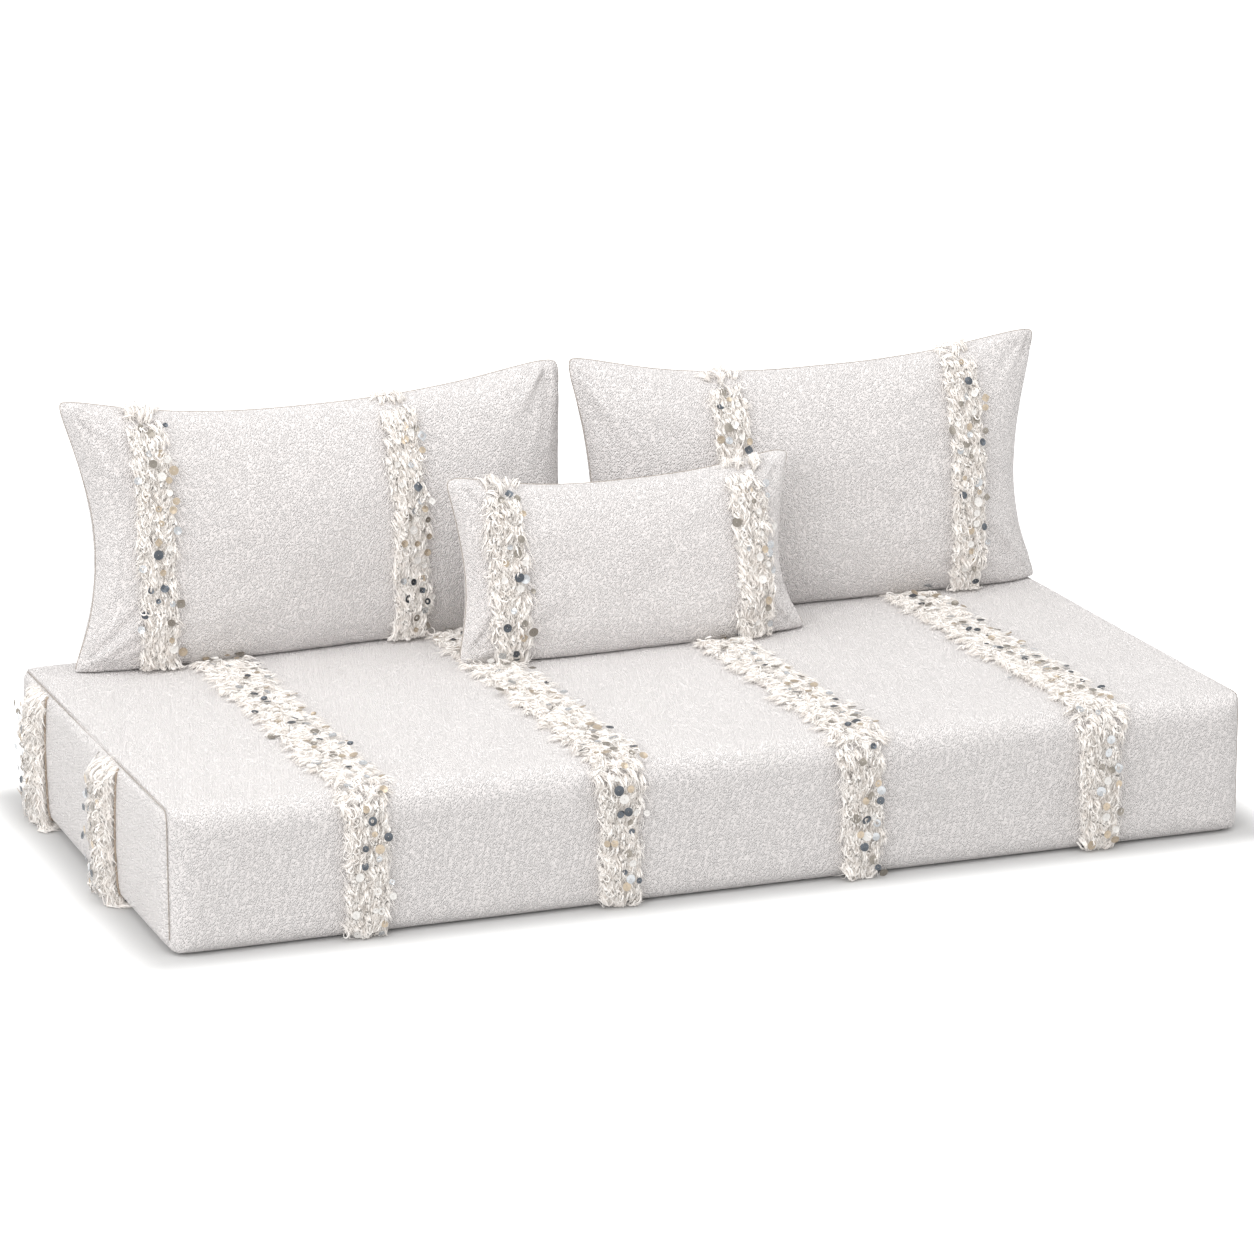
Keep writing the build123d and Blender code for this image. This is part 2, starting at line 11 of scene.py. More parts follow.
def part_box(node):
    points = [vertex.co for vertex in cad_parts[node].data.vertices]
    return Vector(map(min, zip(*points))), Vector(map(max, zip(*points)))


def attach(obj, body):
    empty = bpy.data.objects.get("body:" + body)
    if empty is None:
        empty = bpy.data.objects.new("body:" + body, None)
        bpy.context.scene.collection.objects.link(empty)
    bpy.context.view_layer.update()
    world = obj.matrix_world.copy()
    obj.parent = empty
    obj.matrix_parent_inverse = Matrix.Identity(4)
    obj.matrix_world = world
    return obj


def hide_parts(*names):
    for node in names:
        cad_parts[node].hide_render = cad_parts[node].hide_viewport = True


# Majlis floor sofa: a boxed floor mattress, two back cushions and a lumbar cushion, all in a pale
# boucle cloth, with shaggy wool bands that carry sewn sequins. Metres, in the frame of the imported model.
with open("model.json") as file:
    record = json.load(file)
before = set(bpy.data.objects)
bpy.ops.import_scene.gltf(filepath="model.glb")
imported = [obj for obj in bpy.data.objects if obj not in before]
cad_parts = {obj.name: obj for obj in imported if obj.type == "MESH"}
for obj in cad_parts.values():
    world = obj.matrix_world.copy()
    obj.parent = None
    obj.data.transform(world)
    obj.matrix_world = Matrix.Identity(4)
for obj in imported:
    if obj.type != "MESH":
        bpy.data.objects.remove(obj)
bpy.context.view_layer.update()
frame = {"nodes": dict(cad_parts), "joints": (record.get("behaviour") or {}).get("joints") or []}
draw = np.random.default_rng(11)
bpy.context.scene.view_settings.view_transform = "Standard"

# Studio: a pale sweep of floor under the sofa and a white room round it. The floor is matt board;
# it takes the sofa's shadow, and seen straight on it is bright enough to run into the white behind.
floor_reach = 14.0
floor_shade = 0.56
floor_grain = 3.0
# Painted shadow: the floor's own glow is low next to the sofa's foot and rises to full over this reach.
floor_glow_in_painted_shadow = 0.02
floor_glow_past_painted_shadow = 0.85
painted_shadow_reach = 0.15
floor_covered = (1.0, 0.495, 0)
room_light = 0.94


def fill_inputs(tree, node, given):
    """Gives each named input a plain value, or a link where the value is another node's output."""
    for name, value in given.items():
        if isinstance(value, bpy.types.NodeSocket):
            tree.links.new(value, node.inputs[name])
        else:
            node.inputs[name].default_value = value


def place_node(tree, kind, given=None, **settings):
    """A shader node with its settings and its inputs filled."""
    node = tree.nodes.new("ShaderNode" + kind)
    for name, value in settings.items():
        setattr(node, name, value)
    fill_inputs(tree, node, given or {})
    return node


def mixed_colour(tree, mask, low, high):
    """A colour between two, by a mask."""
    given = {"Factor": mask, "A": low, "B": high}
    return place_node(tree, "Mix", given, data_type="RGBA").outputs["Result"]


def new_finish(name):
    """A new material, its node tree and its skin."""
    finish = bpy.data.materials.new(name)
    finish.use_nodes = True
    return finish, finish.node_tree, finish.node_tree.nodes["Principled BSDF"]


def seen_straight(tree):
    """One for what the camera sees itself or by a mirror, and nought for the light on the sofa."""
    seen = place_node(tree, "LightPath").outputs
    given = {0: seen["Is Camera Ray"], 1: seen["Is Glossy Ray"]}
    return place_node(tree, "Math", given, operation="MAXIMUM").outputs[0]


def white_board():
    """Matt white board that adds a little of its own light where the camera looks straight at it, less near
    the sofa, which paints a shadow round the sofa's foot.
    """
    board, tree, skin = new_finish("white_board")
    grain = place_node(tree, "TexNoise", {"Scale": floor_grain}).outputs["Fac"]
    plain = (floor_shade, floor_shade, floor_shade, 1)
    warmer = (floor_shade * 1.01, floor_shade, floor_shade * 0.99, 1)
    way = place_node(tree, "TexCoord").outputs["Object"]
    for operation, given in (
        ("ABSOLUTE", {}), ("SUBTRACT", {1: floor_covered}), ("MAXIMUM", {}), ("LENGTH", {}),
    ):
        step = place_node(tree, "VectorMath", {0: way} | given, operation=operation)
        way = step.outputs[0]
    # Painted shadow: the glow fades out towards the sofa's footprint.
    lift = place_node(tree, "MapRange", {
        "Value": step.outputs["Value"], "From Max": painted_shadow_reach,
        "To Min": floor_glow_in_painted_shadow, "To Max": floor_glow_past_painted_shadow,
    }, interpolation_type="SMOOTHSTEP").outputs["Result"]
    glow = place_node(tree, "Math", {0: seen_straight(tree), 1: lift}, operation="MULTIPLY")
    fill_inputs(tree, skin, {
        "Base Color": mixed_colour(tree, grain, plain, warmer), "Roughness": 0.95,
        "Specular IOR Level": 0.1, "Emission Color": (1, 1, 1, 1), "Emission Strength": glow.outputs[0],
    })
    return board


floor_mesh = bpy.data.meshes.new("floor")
floor_corners = [(-1, -1), (1, -1), (1, 1), (-1, 1)]
floor_mesh.from_pydata([(x * floor_reach, y * floor_reach, 0) for x, y in floor_corners], [], [(0, 1, 2, 3)])
floor = bpy.data.objects.new("floor", floor_mesh)
bpy.context.collection.objects.link(floor)
floor.data.materials.append(white_board())

room = bpy.data.worlds.new("white_room")
bpy.context.scene.world = room
room.use_nodes = True
room_tree = room.node_tree
room_air = room_tree.nodes["Background"]
fill_inputs(room_tree, room_air, {"Color": (1, 0.995, 0.985, 1), "Strength": room_light})
room_white = place_node(room_tree, "Background", {"Color": (1, 1, 1, 1), "Strength": 1.0})
room_mix = place_node(room_tree, "MixShader", {
    "Fac": seen_straight(room_tree), 1: room_air.outputs[0], 2: room_white.outputs[0],
})
fill_inputs(room_tree, room_tree.nodes["World Output"], {"Surface": room_mix.outputs[0]})

# Lamps: one large soft box over the sofa and three beside it, the strongest in front on the left, as
# in a catalogue studio.
for lamp_name, lamp_place, lamp_aim, lamp_size, lamp_watts in (
    ("top_box", (-0.6, -0.6, 4.2), (0, 0, 0.2), 4.0, 78),
    ("front_box", (-4.6, -4.2, 2.8), (0, 0, 0.3), 3.0, 104),
    ("side_box", (4.6, -2.4, 3.0), (0, 0, 0.4), 3.0, 30),
    ("left_box", (-5.2, -0.4, 2.0), (-0.8, 0, 0.15), 2.4, 26),
):
    lamp_data = bpy.data.lights.new(lamp_name, "AREA")
    lamp_data.shape = "DISK"
    lamp_data.size = lamp_size
    lamp_data.energy = lamp_watts
    lamp = bpy.data.objects.new(lamp_name, lamp_data)
    lamp.location = lamp_place
    lamp.rotation_euler = (Vector(lamp_aim) - Vector(lamp_place)).to_track_quat("-Z", "Y").to_euler()
    bpy.context.collection.objects.link(lamp)

# Camera: stands in front of the sofa's left half, a little above it, with a long lens. Its place was
# solved from the mattress corners.
camera_data = bpy.data.cameras.new("camera")
camera_data.sensor_width = 36.0
camera_data.lens = 147.286
camera = bpy.data.objects.new("camera", camera_data)
camera.location = (-3.15296, -8.31256, 2.76549)
camera.rotation_euler = (math.radians(90 - 15.187), math.radians(0.044), math.radians(-20.788))
camera_data.clip_end = 100
bpy.context.collection.objects.link(camera)
bpy.context.scene.camera = camera

# Mattress cover: boucle cloth over wadding and foam. One length runs up the front, over the top and
# down the back, a panel is sewn in at each end, and a plain panel closes the base.
seat_half_width = 1.0
seat_half_depth = 0.495
seat_height = 0.256
top_radius = 0.045
base_radius = 0.032
corner_radius = 0.058
end_radius = 0.018
edge_blend = 0.016
edge_blend_share = 0.45
grid_step = 0.011
end_seam = 0.009
seam_rows = (-0.0075, -0.0035, -0.0012, 0.0012, 0.0035, 0.0075)
seam_clearance = 0.011
base_seam_height = 0.012
skin_core_inset = 0.06
zip_height = 0.060


def rounded_section(across, up, half_width, low, high, low_radius, high_radius):
    """Distance outside a rectangle whose bottom and top corners are rounded by their own radius."""
    middle, half_height = (low + high) / 2, (high - low) / 2
    radius = np.where(up > middle, high_radius, low_radius)
    over_x = np.abs(across) - half_width + radius
    over_y = np.abs(up - middle) - half_height + radius
    outside = np.hypot(np.maximum(over_x, 0), np.maximum(over_y, 0))
    return outside + np.minimum(np.maximum(over_x, over_y), 0) - radius


def mattress_distance(points):
    """Distance outside the mattress, whose three rounded outlines blend softly into each other.

    A flat side belongs to two of the outlines, so the blend is measured against a sum of two there.
    """
    x, y, z = points[..., 0], points[..., 1], points[..., 2]
    lengthwise = rounded_section(y, z, seat_half_depth, 0, seat_height, base_radius, top_radius)
    crosswise = rounded_section(x, z, seat_half_width, 0, seat_height, base_radius, end_radius)
    plan = rounded_section(
        x, y, seat_half_width, -seat_half_depth, seat_half_depth, corner_radius, corner_radius
    )
    stack = np.stack([lengthwise, crosswise, plan])
    highest = stack.max(axis=0)
    blend = np.log(np.exp((stack - highest) / edge_blend).sum(axis=0) / 2)
    return highest + edge_blend * edge_blend_share * blend


def stations(low, high, step, marks=()):
    """Grid lines from low to high at about one step, with extra lines round each mark."""
    lines = list(np.linspace(low, high, max(2, round((high - low) / step)) + 1))
    for mark in marks:
        lines = [line for line in lines if abs(line - mark) > seam_clearance or line in (low, high)]
        lines += [mark + row for row in seam_rows] + [mark]
    return np.array(sorted(lines))


def box_grid(xs, ys, zs):
    """Points and quads over a box's six sides, with lines at the given stations."""
    index, points, quads = {}, [], []

    def corner(i, j, k):
        if (i, j, k) not in index:
            index[(i, j, k)] = len(points)
            points.append((xs[i], ys[j], zs[k]))
        return index[(i, j, k)]

    last_x, last_y, last_z = len(xs) - 1, len(ys) - 1, len(zs) - 1
    for i in range(last_x):
        for j in range(last_y):
            quads.append([corner(i, j, last_z), corner(i + 1, j, last_z),
                          corner(i + 1, j + 1, last_z), corner(i, j + 1, last_z)])
            quads.append([corner(i, j, 0), corner(i, j + 1, 0),
                          corner(i + 1, j + 1, 0), corner(i + 1, j, 0)])
        for k in range(last_z):
            quads.append([corner(i, 0, k), corner(i + 1, 0, k),
                          corner(i + 1, 0, k + 1), corner(i, 0, k + 1)])
            quads.append([corner(i, last_y, k), corner(i, last_y, k + 1),
                          corner(i + 1, last_y, k + 1), corner(i + 1, last_y, k)])
    for j in range(last_y):
        for k in range(last_z):
            quads.append([corner(0, j, k), corner(0, j, k + 1),
                          corner(0, j + 1, k + 1), corner(0, j + 1, k)])
            quads.append([corner(last_x, j, k), corner(last_x, j + 1, k),
                          corner(last_x, j + 1, k + 1), corner(last_x, j, k + 1)])
    return np.array(points), quads


def noise_at(places):
    """Smooth noise between about -1 and 1 at each place."""
    return np.array([noise.noise(Vector(place)) for place in places])


def fold_noise(points, size, seed):
    """Smooth noise over points, whose swells are size across."""
    shift = Vector((seed * 7.3, seed * 3.1, seed * 5.7))
    return noise_at(Vector(point) / size + shift for point in points)


def wrap_skin(points, core_inset, distance):
    """Moves points along the way to the core until they lie on the skin."""
    core = np.clip(
        points,
        (-seat_half_width + core_inset, -seat_half_depth + core_inset, core_inset),
        (seat_half_width - core_inset, seat_half_depth - core_inset, seat_height - core_inset),
    )
    way = points - core
    near, far = np.zeros(len(points)), np.full(len(points), 1.3)
    for _ in range(26):
        middle = (near + far) / 2
        inside = distance(core + way * middle[:, None]) < 0
        near, far = np.where(inside, middle, near), np.where(inside, far, middle)
    return core + way * near[:, None]


def mesh_piece(name, points, faces, smooth=True):
    """A piece from its points and faces."""
    mesh = bpy.data.meshes.new(name)
    mesh.from_pydata([tuple(point) for point in points], [], [tuple(face) for face in faces])
    mesh.validate()
    mesh.polygons.foreach_set("use_smooth", [smooth] * len(mesh.polygons))
    piece = bpy.data.objects.new(name, mesh)
    bpy.context.collection.objects.link(piece)
    return piece


def point_normals(points, faces):
    """Unit normals of a mesh's points."""
    mesh = bpy.data.meshes.new("normals")
    mesh.from_pydata([tuple(point) for point in points], [], [tuple(face) for face in faces])
    normals = np.array([vertex.normal for vertex in mesh.vertices])
    bpy.data.meshes.remove(mesh)
    return normals


seam_x = seat_half_width - end_seam
seat_xs = stations(-seat_half_width, seat_half_width, grid_step, (-seam_x, seam_x))
seat_xs = seat_xs[(seat_xs >= -seat_half_width) & (seat_xs <= seat_half_width)]
seat_ys = stations(-seat_half_depth, seat_half_depth, grid_step)
seat_zs = np.array(sorted(set(stations(0, seat_height, grid_step)) | {base_seam_height}))
seat_points, seat_faces = box_grid(seat_xs, seat_ys, seat_zs)
seat_points = wrap_skin(seat_points, skin_core_inset, mattress_distance)
seat_normals = point_normals(seat_points, seat_faces)


def seam_pucker(along, seed):
    """Short pleats across a seam, where the stitches gather the cloth."""
    steps = noise_at((way * 62, seed * 9.1, 0) for way in along)
    slow = noise_at((way * 9, seed * 4.3, 2) for way in along)
    return steps * (0.5 + slow)


def fading(distance, reach):
    """One at the middle of a groove or pleat, fading to nought past its reach."""
    return np.exp(-((distance / reach) ** 2))


# How the cloth lies: drawn in at the seams, with pleats beside them, long swells, and ends that bulge.
groove_depth = 0.0045
groove_reach = 0.0026
pleat_height = 0.0016
pleat_reach = 0.022
end_bulge = 0.007
floor_calm = 0.02
top_rise_limit = 0.0006
from_seam = np.abs(np.abs(seat_points[:, 0]) - seam_x)
height = seat_points[:, 2]
seam_way = np.where(height > seat_height - 0.02, seat_points[:, 1], height + 2)
seat_offset = -groove_depth * fading(from_seam, groove_reach)
seat_offset += pleat_height * fading(from_seam, pleat_reach) * seam_pucker(seam_way, 1)
seat_offset += 0.0022 * fold_noise(seat_points, 0.42, 2) + 0.0011 * fold_noise(seat_points, 0.13, 3)
bulge_y = 1 - (seat_points[:, 1] / seat_half_depth) ** 2
bulge_z = 4 * (height / seat_height) * (1 - height / seat_height)
bulge = end_bulge * np.clip(bulge_y, 0, 1) * np.clip(bulge_z, 0, 1)
on_end = np.abs(seat_points[:, 0]) > seat_half_width - 0.004
seat_offset = seat_offset * np.clip(height / floor_calm, 0, 1) + np.where(on_end, bulge, 0)
on_top = seat_normals[:, 2] > 0.9
seat_offset = np.where(on_top, np.minimum(seat_offset, top_rise_limit), seat_offset)
from_zip = np.abs(height - zip_height) + 10 * (seat_points[:, 1] < seat_half_depth - 0.01)
seat_offset = seat_offset * np.clip((from_zip - 0.010) / 0.02, 0, 1)
seat_points = seat_points + seat_normals * seat_offset[:, None]
seat_points[:, 2] = np.maximum(seat_points[:, 2], 0.0)


def shader_group(name, inputs, outputs):
    """A new shader node group, the values that it is given and the node that its outputs end in."""
    group = bpy.data.node_groups.new(name, "ShaderNodeTree")
    for title, default in inputs.items():
        kind = "NodeSocketColor" if np.ndim(default) else "NodeSocketFloat"
        group.interface.new_socket(title, in_out="INPUT", socket_type=kind).default_value = default
    for title, kind in outputs.items():
        group.interface.new_socket(title, in_out="OUTPUT", socket_type=kind)
    return group, group.nodes.new("NodeGroupInput").outputs, group.nodes.new("NodeGroupOutput")


def boucle_pile():
    """The cloth's looped face: curled loops a few millimetres across, as a height and a tone that holds
    painted shade in the hollows between the loops.
    """
    pile, given, out = shader_group(
        "boucle_pile",
        {"Loop Size": 0.0046, "Light Yarn": (1, 1, 1, 1), "Yarn In Painted Shade": (0.5, 0.5, 0.5, 1)},
        {"Color": "NodeSocketColor", "Height": "NodeSocketFloat"},
    )
    place = place_node(pile, "TexCoord").outputs["Object"]
    per_loop = place_node(pile, "Math", {0: 1.0, 1: given["Loop Size"]}, operation="DIVIDE").outputs[0]
    nap = place_node(pile, "Mapping", {
        "Vector": place, "Rotation": (0.25, 0.62, 0.30), "Scale": (1.0, 0.85, 0.72),
    }).outputs["Vector"]
    spot = place_node(pile, "VectorMath", {0: nap, "Scale": per_loop}, operation="SCALE").outputs[0]
    curl = place_node(pile, "TexNoise", {"Vector": spot, "Scale": 0.55, "Detail": 2.0}).outputs["Color"]
    middle = place_node(pile, "VectorMath", {0: curl, 1: (0.5, 0.5, 0.5)}, operation="SUBTRACT").outputs[0]
    pull = place_node(pile, "VectorMath", {0: middle, "Scale": 0.45}, operation="SCALE").outputs[0]
    curled = place_node(pile, "VectorMath", {0: spot, 1: pull}, operation="ADD").outputs[0]
    loops = place_node(pile, "TexVoronoi", {
        "Vector": curled, "Scale": 1.0, "Smoothness": 0.2, "Randomness": 0.75,
    }, feature="SMOOTH_F1").outputs["Distance"]
    round_top = place_node(pile, "MapRange", {
        "Value": loops, "From Min": 0.72, "From Max": 0.08,
    }, interpolation_type="SMOOTHSTEP").outputs["Result"]
    fibre = place_node(pile, "TexNoise", {"Vector": spot, "Scale": 4.2, "Detail": 3.0}).outputs["Fac"]
    height = place_node(pile, "Math", {0: fibre, 1: 0.28, 2: round_top}, operation="MULTIPLY_ADD").outputs[0]
    patches = place_node(pile, "TexNoise", {"Vector": spot, "Scale": 0.02, "Detail": 3.0}).outputs["Fac"]
    worn = place_node(pile, "MapRange", {
        "Value": patches, "From Min": 0.3, "From Max": 0.7, "To Min": 0.02, "To Max": 0.12,
    }).outputs["Result"]
    # Painted shade: the tone darkens towards the hollows between the loops and is lightest on the loop tops,
    # with the cloudy worn patches added.
    shade = place_node(pile, "Math", {0: height, 1: 0.75, 2: worn}, operation="MULTIPLY_ADD").outputs[0]
    yarn = mixed_colour(pile, shade, given["Yarn In Painted Shade"], given["Light Yarn"])
    fill_inputs(pile, out, {"Color": yarn, "Height": height})
    return pile


def boucle_cloth(name, light_yarn, yarn_in_painted_shade, loop_size, loop_height):
    """Boucle: looped wool and cotton yarn, matt, with a soft bloom at grazing light and painted shade
    between its loops.
    """
    cloth, tree, skin = new_finish(name)
    pile = place_node(tree, "Group", {
        "Loop Size": loop_size, "Light Yarn": (*light_yarn, 1), "Yarn In Painted Shade": (*yarn_in_painted_shade, 1),
    }, node_tree=boucle_pile()).outputs
    relief = place_node(tree, "Bump", {"Strength": 1.0, "Distance": loop_height, "Height": pile["Height"]})
    fill_inputs(tree, skin, {
        "Base Color": pile["Color"], "Normal": relief.outputs["Normal"], "Roughness": 0.93,
        "Specular IOR Level": 0.2, "Sheen Weight": 0.25, "Sheen Roughness": 0.6,
    })
    return cloth


# The darker of the two yarn tones is painted shade in the hollows between the loops.
boucle = boucle_cloth("boucle", (0.985, 0.955, 0.949), (0.78, 0.745, 0.734), 0.0030, 0.0031)

face_middles = np.array([seat_points[face].mean(axis=0) for face in seat_faces])
on_base = face_middles[:, 2] < base_seam_height * 0.55
past_left = ~on_base & (face_middles[:, 0] < -seam_x)
past_right = ~on_base & (face_middles[:, 0] > seam_x)
on_wrap = ~(on_base | past_left | past_right)


def finish_piece(piece, stuff, body, node=None):
    """Gives a piece its material and body, and hides the node that it stands for."""
    piece.data.materials.append(stuff)
    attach(piece, body)
    if node:
        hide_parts(node)


def cut_piece(name, points, faces, chosen):
    """The chosen faces of a mesh as a piece of their own."""
    kept = [face for face, take in zip(faces, chosen) if take]
    used = sorted({corner for face in kept for corner in face})
    renumber = {old: new for new, old in enumerate(used)}
    return mesh_piece(name, points[used], [[renumber[corner] for corner in face] for face in kept])


for panel_name, panel_faces, panel_node, panel_slot in (
    ("mattress_wrap", on_wrap, "seat_cover_wrap", "boucle_cloth"),
    ("mattress_end_left", past_left, "seat_end_panel_left", "boucle_cloth"),
    ("mattress_end_right", past_right, "seat_end_panel_right", "boucle_cloth"),
    ("mattress_base", on_base, "seat_base_panel", "base_cloth"),
):
    panel = cut_piece(panel_name, seat_points, seat_faces, panel_faces)
    finish_piece(panel, boucle, "seat", panel_node)

# Seams: a spun thread drawn tight in the groove of each end seam, where an end panel is sewn to the wrap.
# Its dark tone is partly the thread's own and partly painted shadow along the groove.
thread_radius = 0.0008
thread_depth = 0.0030
seam_step = 0.005


def smooth_tube(name, path, radius, sides=6):
    """A closed tube along a path."""
    path = np.array(path)
    along = np.gradient(path, axis=0)
    along /= np.linalg.norm(along, axis=1, keepdims=True)
    guide = np.where(np.abs(along[:, :1]) > 0.9, np.array([[0, 1.0, 0]]), np.array([[1.0, 0, 0]]))
    side = np.cross(along, guide)
    side /= np.linalg.norm(side, axis=1, keepdims=True)
    up = np.cross(along, side)
    turn = np.arange(sides) * 2 * math.pi / sides
    spoke = side[:, None] * np.cos(turn)[None, :, None] + up[:, None] * np.sin(turn)[None, :, None]
    points = (path[:, None] + spoke * radius).reshape(-1, 3)
    faces = []
    for step in range(len(path) - 1):
        for number in range(sides):
            after = (number + 1) % sides
            faces.append((step * sides + number, step * sides + after,
                          (step + 1) * sides + after, (step + 1) * sides + number))
    faces.append(tuple(range(sides))[::-1])
    faces.append(tuple(range(len(points) - sides, len(points))))
    return mesh_piece(name, points, faces)


def uneven_wear():
    """Cloudy wear on a small part: its mask, and a colour between the worn and the full tone."""
    group, given, out = shader_group(
        "uneven_wear",
        {"Scale": 300.0, "Detail": 2.0, "Worn Tone": (0.6, 0.6, 0.6, 1), "Full Tone": (1, 1, 1, 1)},
        {"Color": "NodeSocketColor", "Wear": "NodeSocketFloat"},
    )
    place = place_node(group, "TexCoord").outputs["Object"]
    wear = place_node(group, "TexNoise", {
        "Vector": place, "Scale": given["Scale"], "Detail": given["Detail"],
    }).outputs["Fac"]
    colour = mixed_colour(group, wear, given["Worn Tone"], given["Full Tone"])
    fill_inputs(group, out, {"Color": colour, "Wear": wear})
    return group


wear_group = uneven_wear()


def wear_skin(tree, skin, tone, worn_share, scale, detail):
    """Colours a skin with uneven wear and gives the wear's mask."""
    wear = place_node(tree, "Group", {
        "Scale": scale, "Detail": detail,
        "Worn Tone": (*(part * worn_share for part in tone), 1), "Full Tone": (*tone, 1),
    }, node_tree=wear_group).outputs
    fill_inputs(tree, skin, {"Base Color": wear["Color"]})
    return wear["Wear"]


def sewing_thread(name, tone):
    """Spun thread a shade darker than the cloth."""
    thread, tree, skin = new_finish(name)
    wear_skin(tree, skin, tone, 0.6, 300.0, 2.0)
    fill_inputs(tree, skin, {"Roughness": 0.85})
    return thread


# Painted shadow: this thread is darker than the real one, so that it also stands for the shade in the seam's
# groove.
seam_thread_and_painted_shadow = sewing_thread("seam_thread_and_painted_shadow", (0.50, 0.44, 0.39))


def seam_path(x, depth):
    """The seam's way round the mattress at x, from the front's foot over the top to the back's foot."""
    line = [(-seat_half_depth, z) for z in np.arange(base_seam_height, seat_height, seam_step)]
    line += [(y, seat_height) for y in np.arange(-seat_half_depth, seat_half_depth, seam_step)]
    line += [(seat_half_depth, z) for z in np.arange(seat_height, base_seam_height, -seam_step)]
    fine = wrap_skin(np.array([(x, y, z) for y, z in line]), skin_core_inset, mattress_distance)
    fine[:, 0] = x
    for _ in range(3):
        gap = mattress_distance(fine) + depth
        inward = fine - np.array([x, 0, seat_height / 2])
        inward[:, 0] = 0
        fine = fine - inward / np.linalg.norm(inward, axis=1, keepdims=True) * gap[:, None]
    return fine


for seam_side, seam_sign in (("left", -1), ("right", 1)):
    run = seam_path(seam_sign * seam_x, thread_depth)
    thread = smooth_tube(f"seam_thread_and_painted_shadow_{seam_side}", run, thread_radius)
    finish_piece(thread, seam_thread_and_painted_shadow, "seat")

# Zips: two woven tapes with a moulded coil on each, closed by a metal slider with a pull tab. The
# long one is sewn in a slit low on the mattress's back, one more low on the back of each cushion.
slit_half_width = 0.0045
slit_past_chain = 0.0055
slit_near = 0.02
slit_deep = 0.012
cover_wall = 0.003
coil_depth = 0.00195
tooth_pitch = 0.0022
joints = {joint["name"]: joint for joint in frame["joints"]}


def zip_frame(name):
    """A zip's middle on the cover's outside, its way along, across and out, and its half length."""
    low, high = (np.array(corner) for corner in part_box(f"{name}_zip_chain"))
    along = np.array(joints[f"{name}_zip_slide"]["axis"])
    across = np.array(joints[f"{name}_zip_pull_swing"]["axis"])
    out = np.cross(across, along)
    heart = np.array([0, 0, 0]) if name == "seat" else np.array(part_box(f"{name}_filling")).mean(axis=0)
    middle = (low + high) / 2
    if (middle - heart) @ out < 0:
        out = -out
    corners = np.array([vertex.co for vertex in frame["nodes"][f"{name}_zip_chain"].data.vertices])
    reach = np.abs((corners - middle) @ along).max()
    return middle + out * coil_depth, along, across, out, reach


def settle_on_zip(points, place):
    """Draws a skin's points near a zip onto the zip's flat."""
    middle, along, across, out, reach = place
    way = points - middle
    side, length, height = way @ across, way @ along, way @ out
    near = np.clip((0.045 - np.abs(side)) / 0.03, 0, 1)
    near = near * np.clip((reach + 0.06 - np.abs(length)) / 0.045, 0, 1)
    near = near * near * (3 - 2 * near) * (np.abs(height) < 0.05)
    return points - out * (height * near)[:, None]


def cut_slit(piece, place):
    """Cuts the slit for a zip in a cover, with its edges turned in."""
    middle, along, across, out, reach = (Vector(part) if np.ndim(part) else part for part in place)
    end = reach + slit_past_chain
    shape = bmesh.new()
    shape.from_mesh(piece.data)

    def faces_within(half_width, half_length):
        """The faces whose middle lies in the slit's place, up to these half sizes."""
        ways = [(face, face.calc_center_median() - middle) for face in shape.faces]
        return [
            face for face, way in ways
            if abs(way.dot(across)) < half_width and abs(way.dot(along)) < half_length
            and abs(way.dot(out)) < slit_deep
        ]

    for offset, way in (
        (slit_half_width, across), (-slit_half_width, across), (end, along), (-end, along),
    ):
        near = faces_within(slit_near, end + slit_near)
        touched = near + list(dict.fromkeys(edge for face in near for edge in face.edges))
        touched += list(dict.fromkeys(vertex for face in near for vertex in face.verts))
        bmesh.ops.bisect_plane(shape, geom=touched, plane_co=middle + way * offset, plane_no=way)
    inside = faces_within(slit_half_width, end)
    rim = dict.fromkeys(edge for face in inside for edge in face.edges)
    bmesh.ops.delete(shape, geom=inside, context="FACES")
    rim = [edge for edge in rim if edge.is_valid and edge.is_boundary]
    turned = bmesh.ops.extrude_edge_only(shape, edges=rim)["geom"]
    for vertex in (part for part in turned if isinstance(part, bmesh.types.BMVert)):
        vertex.co -= out * cover_wall
    bmesh.ops.triangulate(shape, faces=[face for face in shape.faces if len(face.verts) > 4])
    shape.to_mesh(piece.data)
    shape.free()
    piece.data.polygons.foreach_set("use_smooth", [True] * len(piece.data.polygons))


cut_slit(bpy.data.objects["mattress_wrap"], zip_frame("seat"))

# Mattress filling: a block of cut foam with open cells, wrapped all round in a soft sheet of wadding
# that rounds its edges under the cover and stays clear of the zip's slider.
foam_inset = 0.0285
wadding_inset = 0.0086
wadding_lump = 0.0015
inner_grid = (0.06, 0.05, 0.03)
inner_core_inset = 0.08


def filling_material(name, tone, cell_size, relief):
    """Foam or wadding: a pale matt stuff whose cells or fibres show as fine relief, with painted shade in
    each cell's hollow.
    """
    stuff, tree, skin = new_finish(name)
    place = place_node(tree, "TexCoord").outputs["Object"]
    cells = place_node(tree, "TexVoronoi", {"Vector": place, "Scale": 1 / cell_size}).outputs["Distance"]
    # Painted shade: each cell is darker towards its hollow, where the relief is low.
    shade_in_cell_hollows = (*(part * 0.82 for part in tone), 1)
    bump = place_node(tree, "Bump", {"Distance": relief, "Height": cells})
    fill_inputs(tree, skin, {
        "Base Color": mixed_colour(tree, cells, shade_in_cell_hollows, (*tone, 1)), "Normal": bump.outputs["Normal"],
        "Roughness": 0.95,
    })
    return stuff


